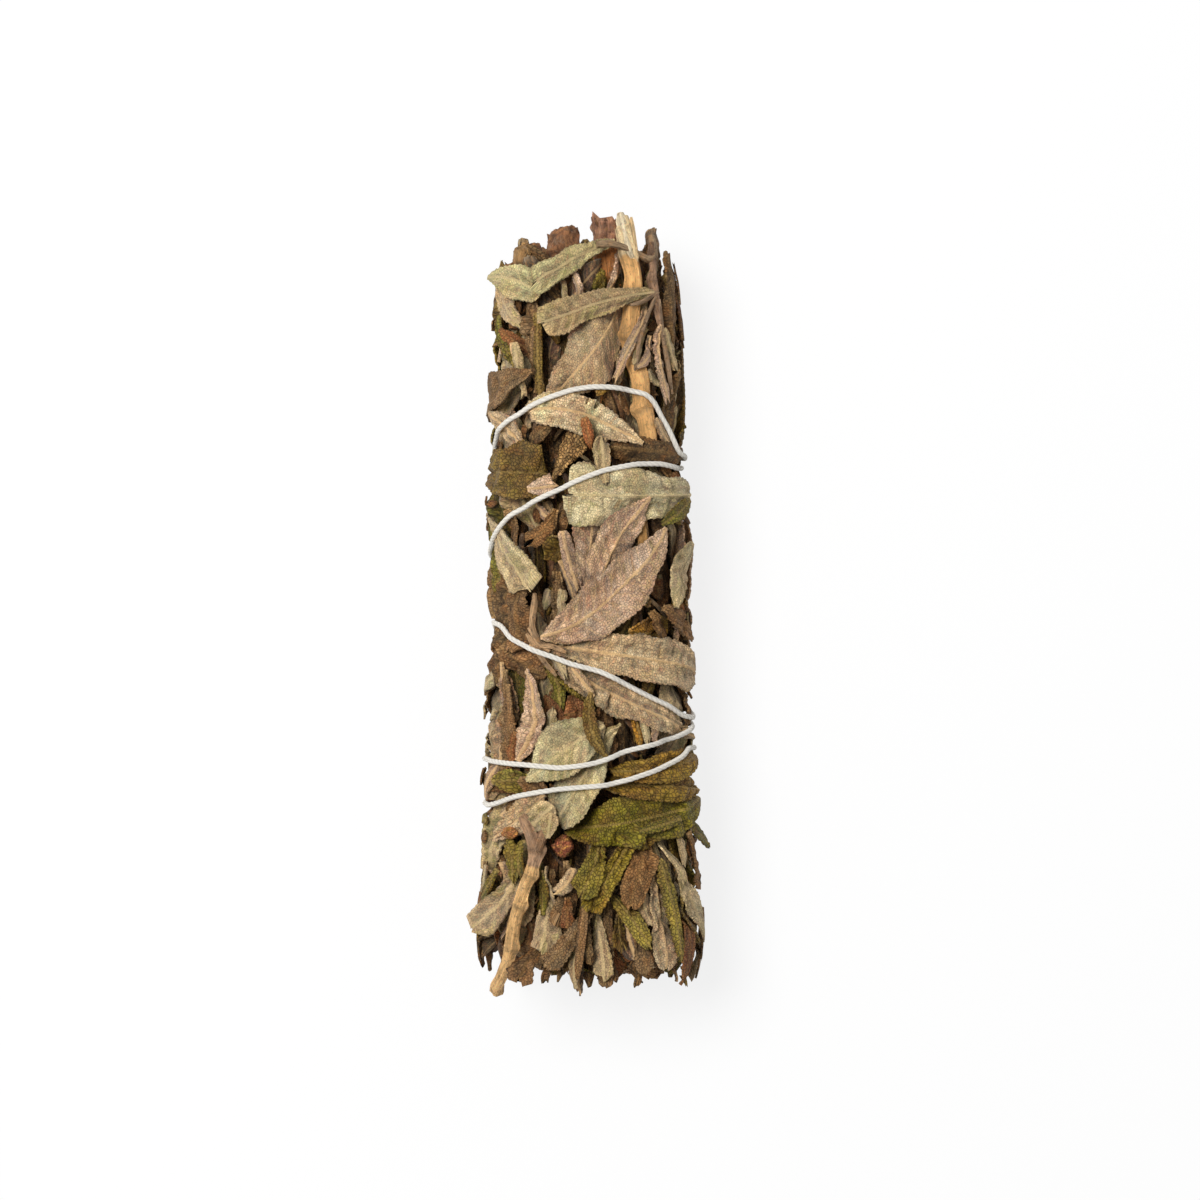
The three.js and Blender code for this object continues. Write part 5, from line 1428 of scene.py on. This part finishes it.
def knot(name, around, along, tail_to):
    """An overhand knot: a flat trefoil, (sin t + 2 sin 2t, cos t - 2 cos 2t, -sin 3t), and a cut tail."""
    t = np.linspace(0, 2 * np.pi, KNOT_POINTS, endpoint=False)
    x, y, z = np.sin(t) + 2 * np.sin(2 * t), np.cos(t) - 2 * np.cos(2 * t), -np.sin(3 * t)
    rest = pile_top(np.array([[around]]), np.array([[along]]), KNOT_REACH)[0, 0] + STRING_RADIUS
    loop = on_roll(around + KNOT_SIZE[0] * x / ARC, along + KNOT_SIZE[1] * y, rest + KNOT_SIZE[2] * z + 0.1)
    loop = np.concatenate([loop, loop[:1]])
    share = np.linspace(0, 1, 30)
    tail_around = around + (tail_to[0] - around) * share
    tail_along = along + (tail_to[1] - along) * share + TAIL_BEND * np.sin(share * 4)
    tail_floor = pile_top(tail_around[:, None], tail_along[:, None], TAIL_REACH)[:, 0] + STRING_RADIUS
    tail_path = on_roll(tail_around, tail_along, np.maximum(tail_floor, rest * (1 - share)))
    tail = string_tube(tail_path, outward(tail_path), KNOT_SECTION, (1, CUT_SPREAD))
    solid = gather([string_tube(loop, outward(loop), KNOT_SECTION), tail])
    build(name, solid, STRING_SKIN, "string", [name])


knot("string_knot_start", 128, -20.9, (121, -15.5))
knot("string_knot_end", 232, 21.8, (241, 16.5))

# ---- Where it lies -------------------------------------------------------------------------------------
# A plain white table, a large soft light above and to the left, and a camera looking straight down.
CAMERA_LENS, CAMERA_SENSOR = 100, 36
VIEW_WIDTH = 168                    # mm across the picture, at the spine
VIEW_OFF = (1.4, 0.56)              # mm from the spine to the middle of the picture
SKY_LEVEL, LAMP_LEVEL = 0.36, 0.92  # shares of the light
LAMP_SIZE, LAMP_AT = 0.4, (-0.28, 0.22, 0.75)      # m
PAPER_GLOW = 0.82                   # share of its own white that the paper shows the camera


def seen_directly(tree):
    """Socket that is 1 for what the camera sees, straight, in a shine or through glass, and 0 for light."""
    ray = add(tree, "LightPath").outputs
    direct = add(tree, "Math", {0: ray["Is Camera Ray"], 1: ray["Is Glossy Ray"]},
                 operation="MAXIMUM").outputs[0]
    return add(tree, "Math", {0: direct, 1: ray["Is Transmission Ray"]}, operation="MAXIMUM").outputs[0]


# The table is covered with matt white paper.
floor_mesh = bpy.data.meshes.new("table")
floor_mesh.from_pydata([(-3, -3, 0), (3, -3, 0), (3, 3, 0), (-3, 3, 0)], [], [(0, 1, 2, 3)])
table = bpy.data.objects.new("table", floor_mesh)
bpy.context.scene.collection.objects.link(table)
table_skin, tree, skin = new_material("white_paper_sweep")
skin.inputs["Base Color"].default_value = (*linear(0xF4F4F4), 1)
skin.inputs["Roughness"].default_value = 0.9
skin.inputs["Specular IOR Level"].default_value = 0.0
glow = add(tree, "Emission", {"Color": (1, 1, 1, 1), "Strength": 1.0}).outputs["Emission"]
share = add(tree, "Math", {0: seen_directly(tree), 1: PAPER_GLOW}, operation="MULTIPLY").outputs[0]
mixed = add(tree, "MixShader", {0: share, 1: skin.outputs["BSDF"], 2: glow}).outputs["Shader"]
tree.links.new(mixed, tree.nodes["Material Output"].inputs["Surface"])
floor_mesh.materials.append(table_skin)

world = bpy.data.worlds.new("studio")
world.use_nodes = True
tree = world.node_tree
level = add(tree, "MapRange", {"Value": seen_directly(tree), "To Min": SKY_LEVEL,
                               "To Max": 1.0}).outputs["Result"]
sky = tree.nodes["Background"]
sky.inputs["Color"].default_value = (1, 1, 1, 1)
tree.links.new(level, sky.inputs["Strength"])
bpy.context.scene.world = world

lamp_data = bpy.data.lights.new("soft_box", "AREA")
lamp_data.shape, lamp_data.size = "DISK", LAMP_SIZE
lamp_far = float(np.linalg.norm(LAMP_AT))
# An area lamp of power P gives P / (pi d^2) in front of it, and a white surface shows 1 at pi.
lamp_data.energy = LAMP_LEVEL * math.pi * math.pi * lamp_far ** 2
lamp = bpy.data.objects.new("soft_box", lamp_data)
lamp.location = LAMP_AT
lamp.rotation_euler = (math.atan2(math.hypot(*LAMP_AT[:2]), LAMP_AT[2]), 0,
                       math.atan2(LAMP_AT[1], LAMP_AT[0]) + math.pi / 2)
bpy.context.scene.collection.objects.link(lamp)

camera_data = bpy.data.cameras.new("camera")
camera_data.lens, camera_data.sensor_width = CAMERA_LENS, CAMERA_SENSOR
camera = bpy.data.objects.new("camera", camera_data)
camera.location = (np.array([*VIEW_OFF, VIEW_WIDTH * CAMERA_LENS / CAMERA_SENSOR]) + SPINE) * MM
bpy.context.scene.collection.objects.link(camera)
bpy.context.scene.camera = camera
bpy.context.scene.view_settings.view_transform = "Standard"
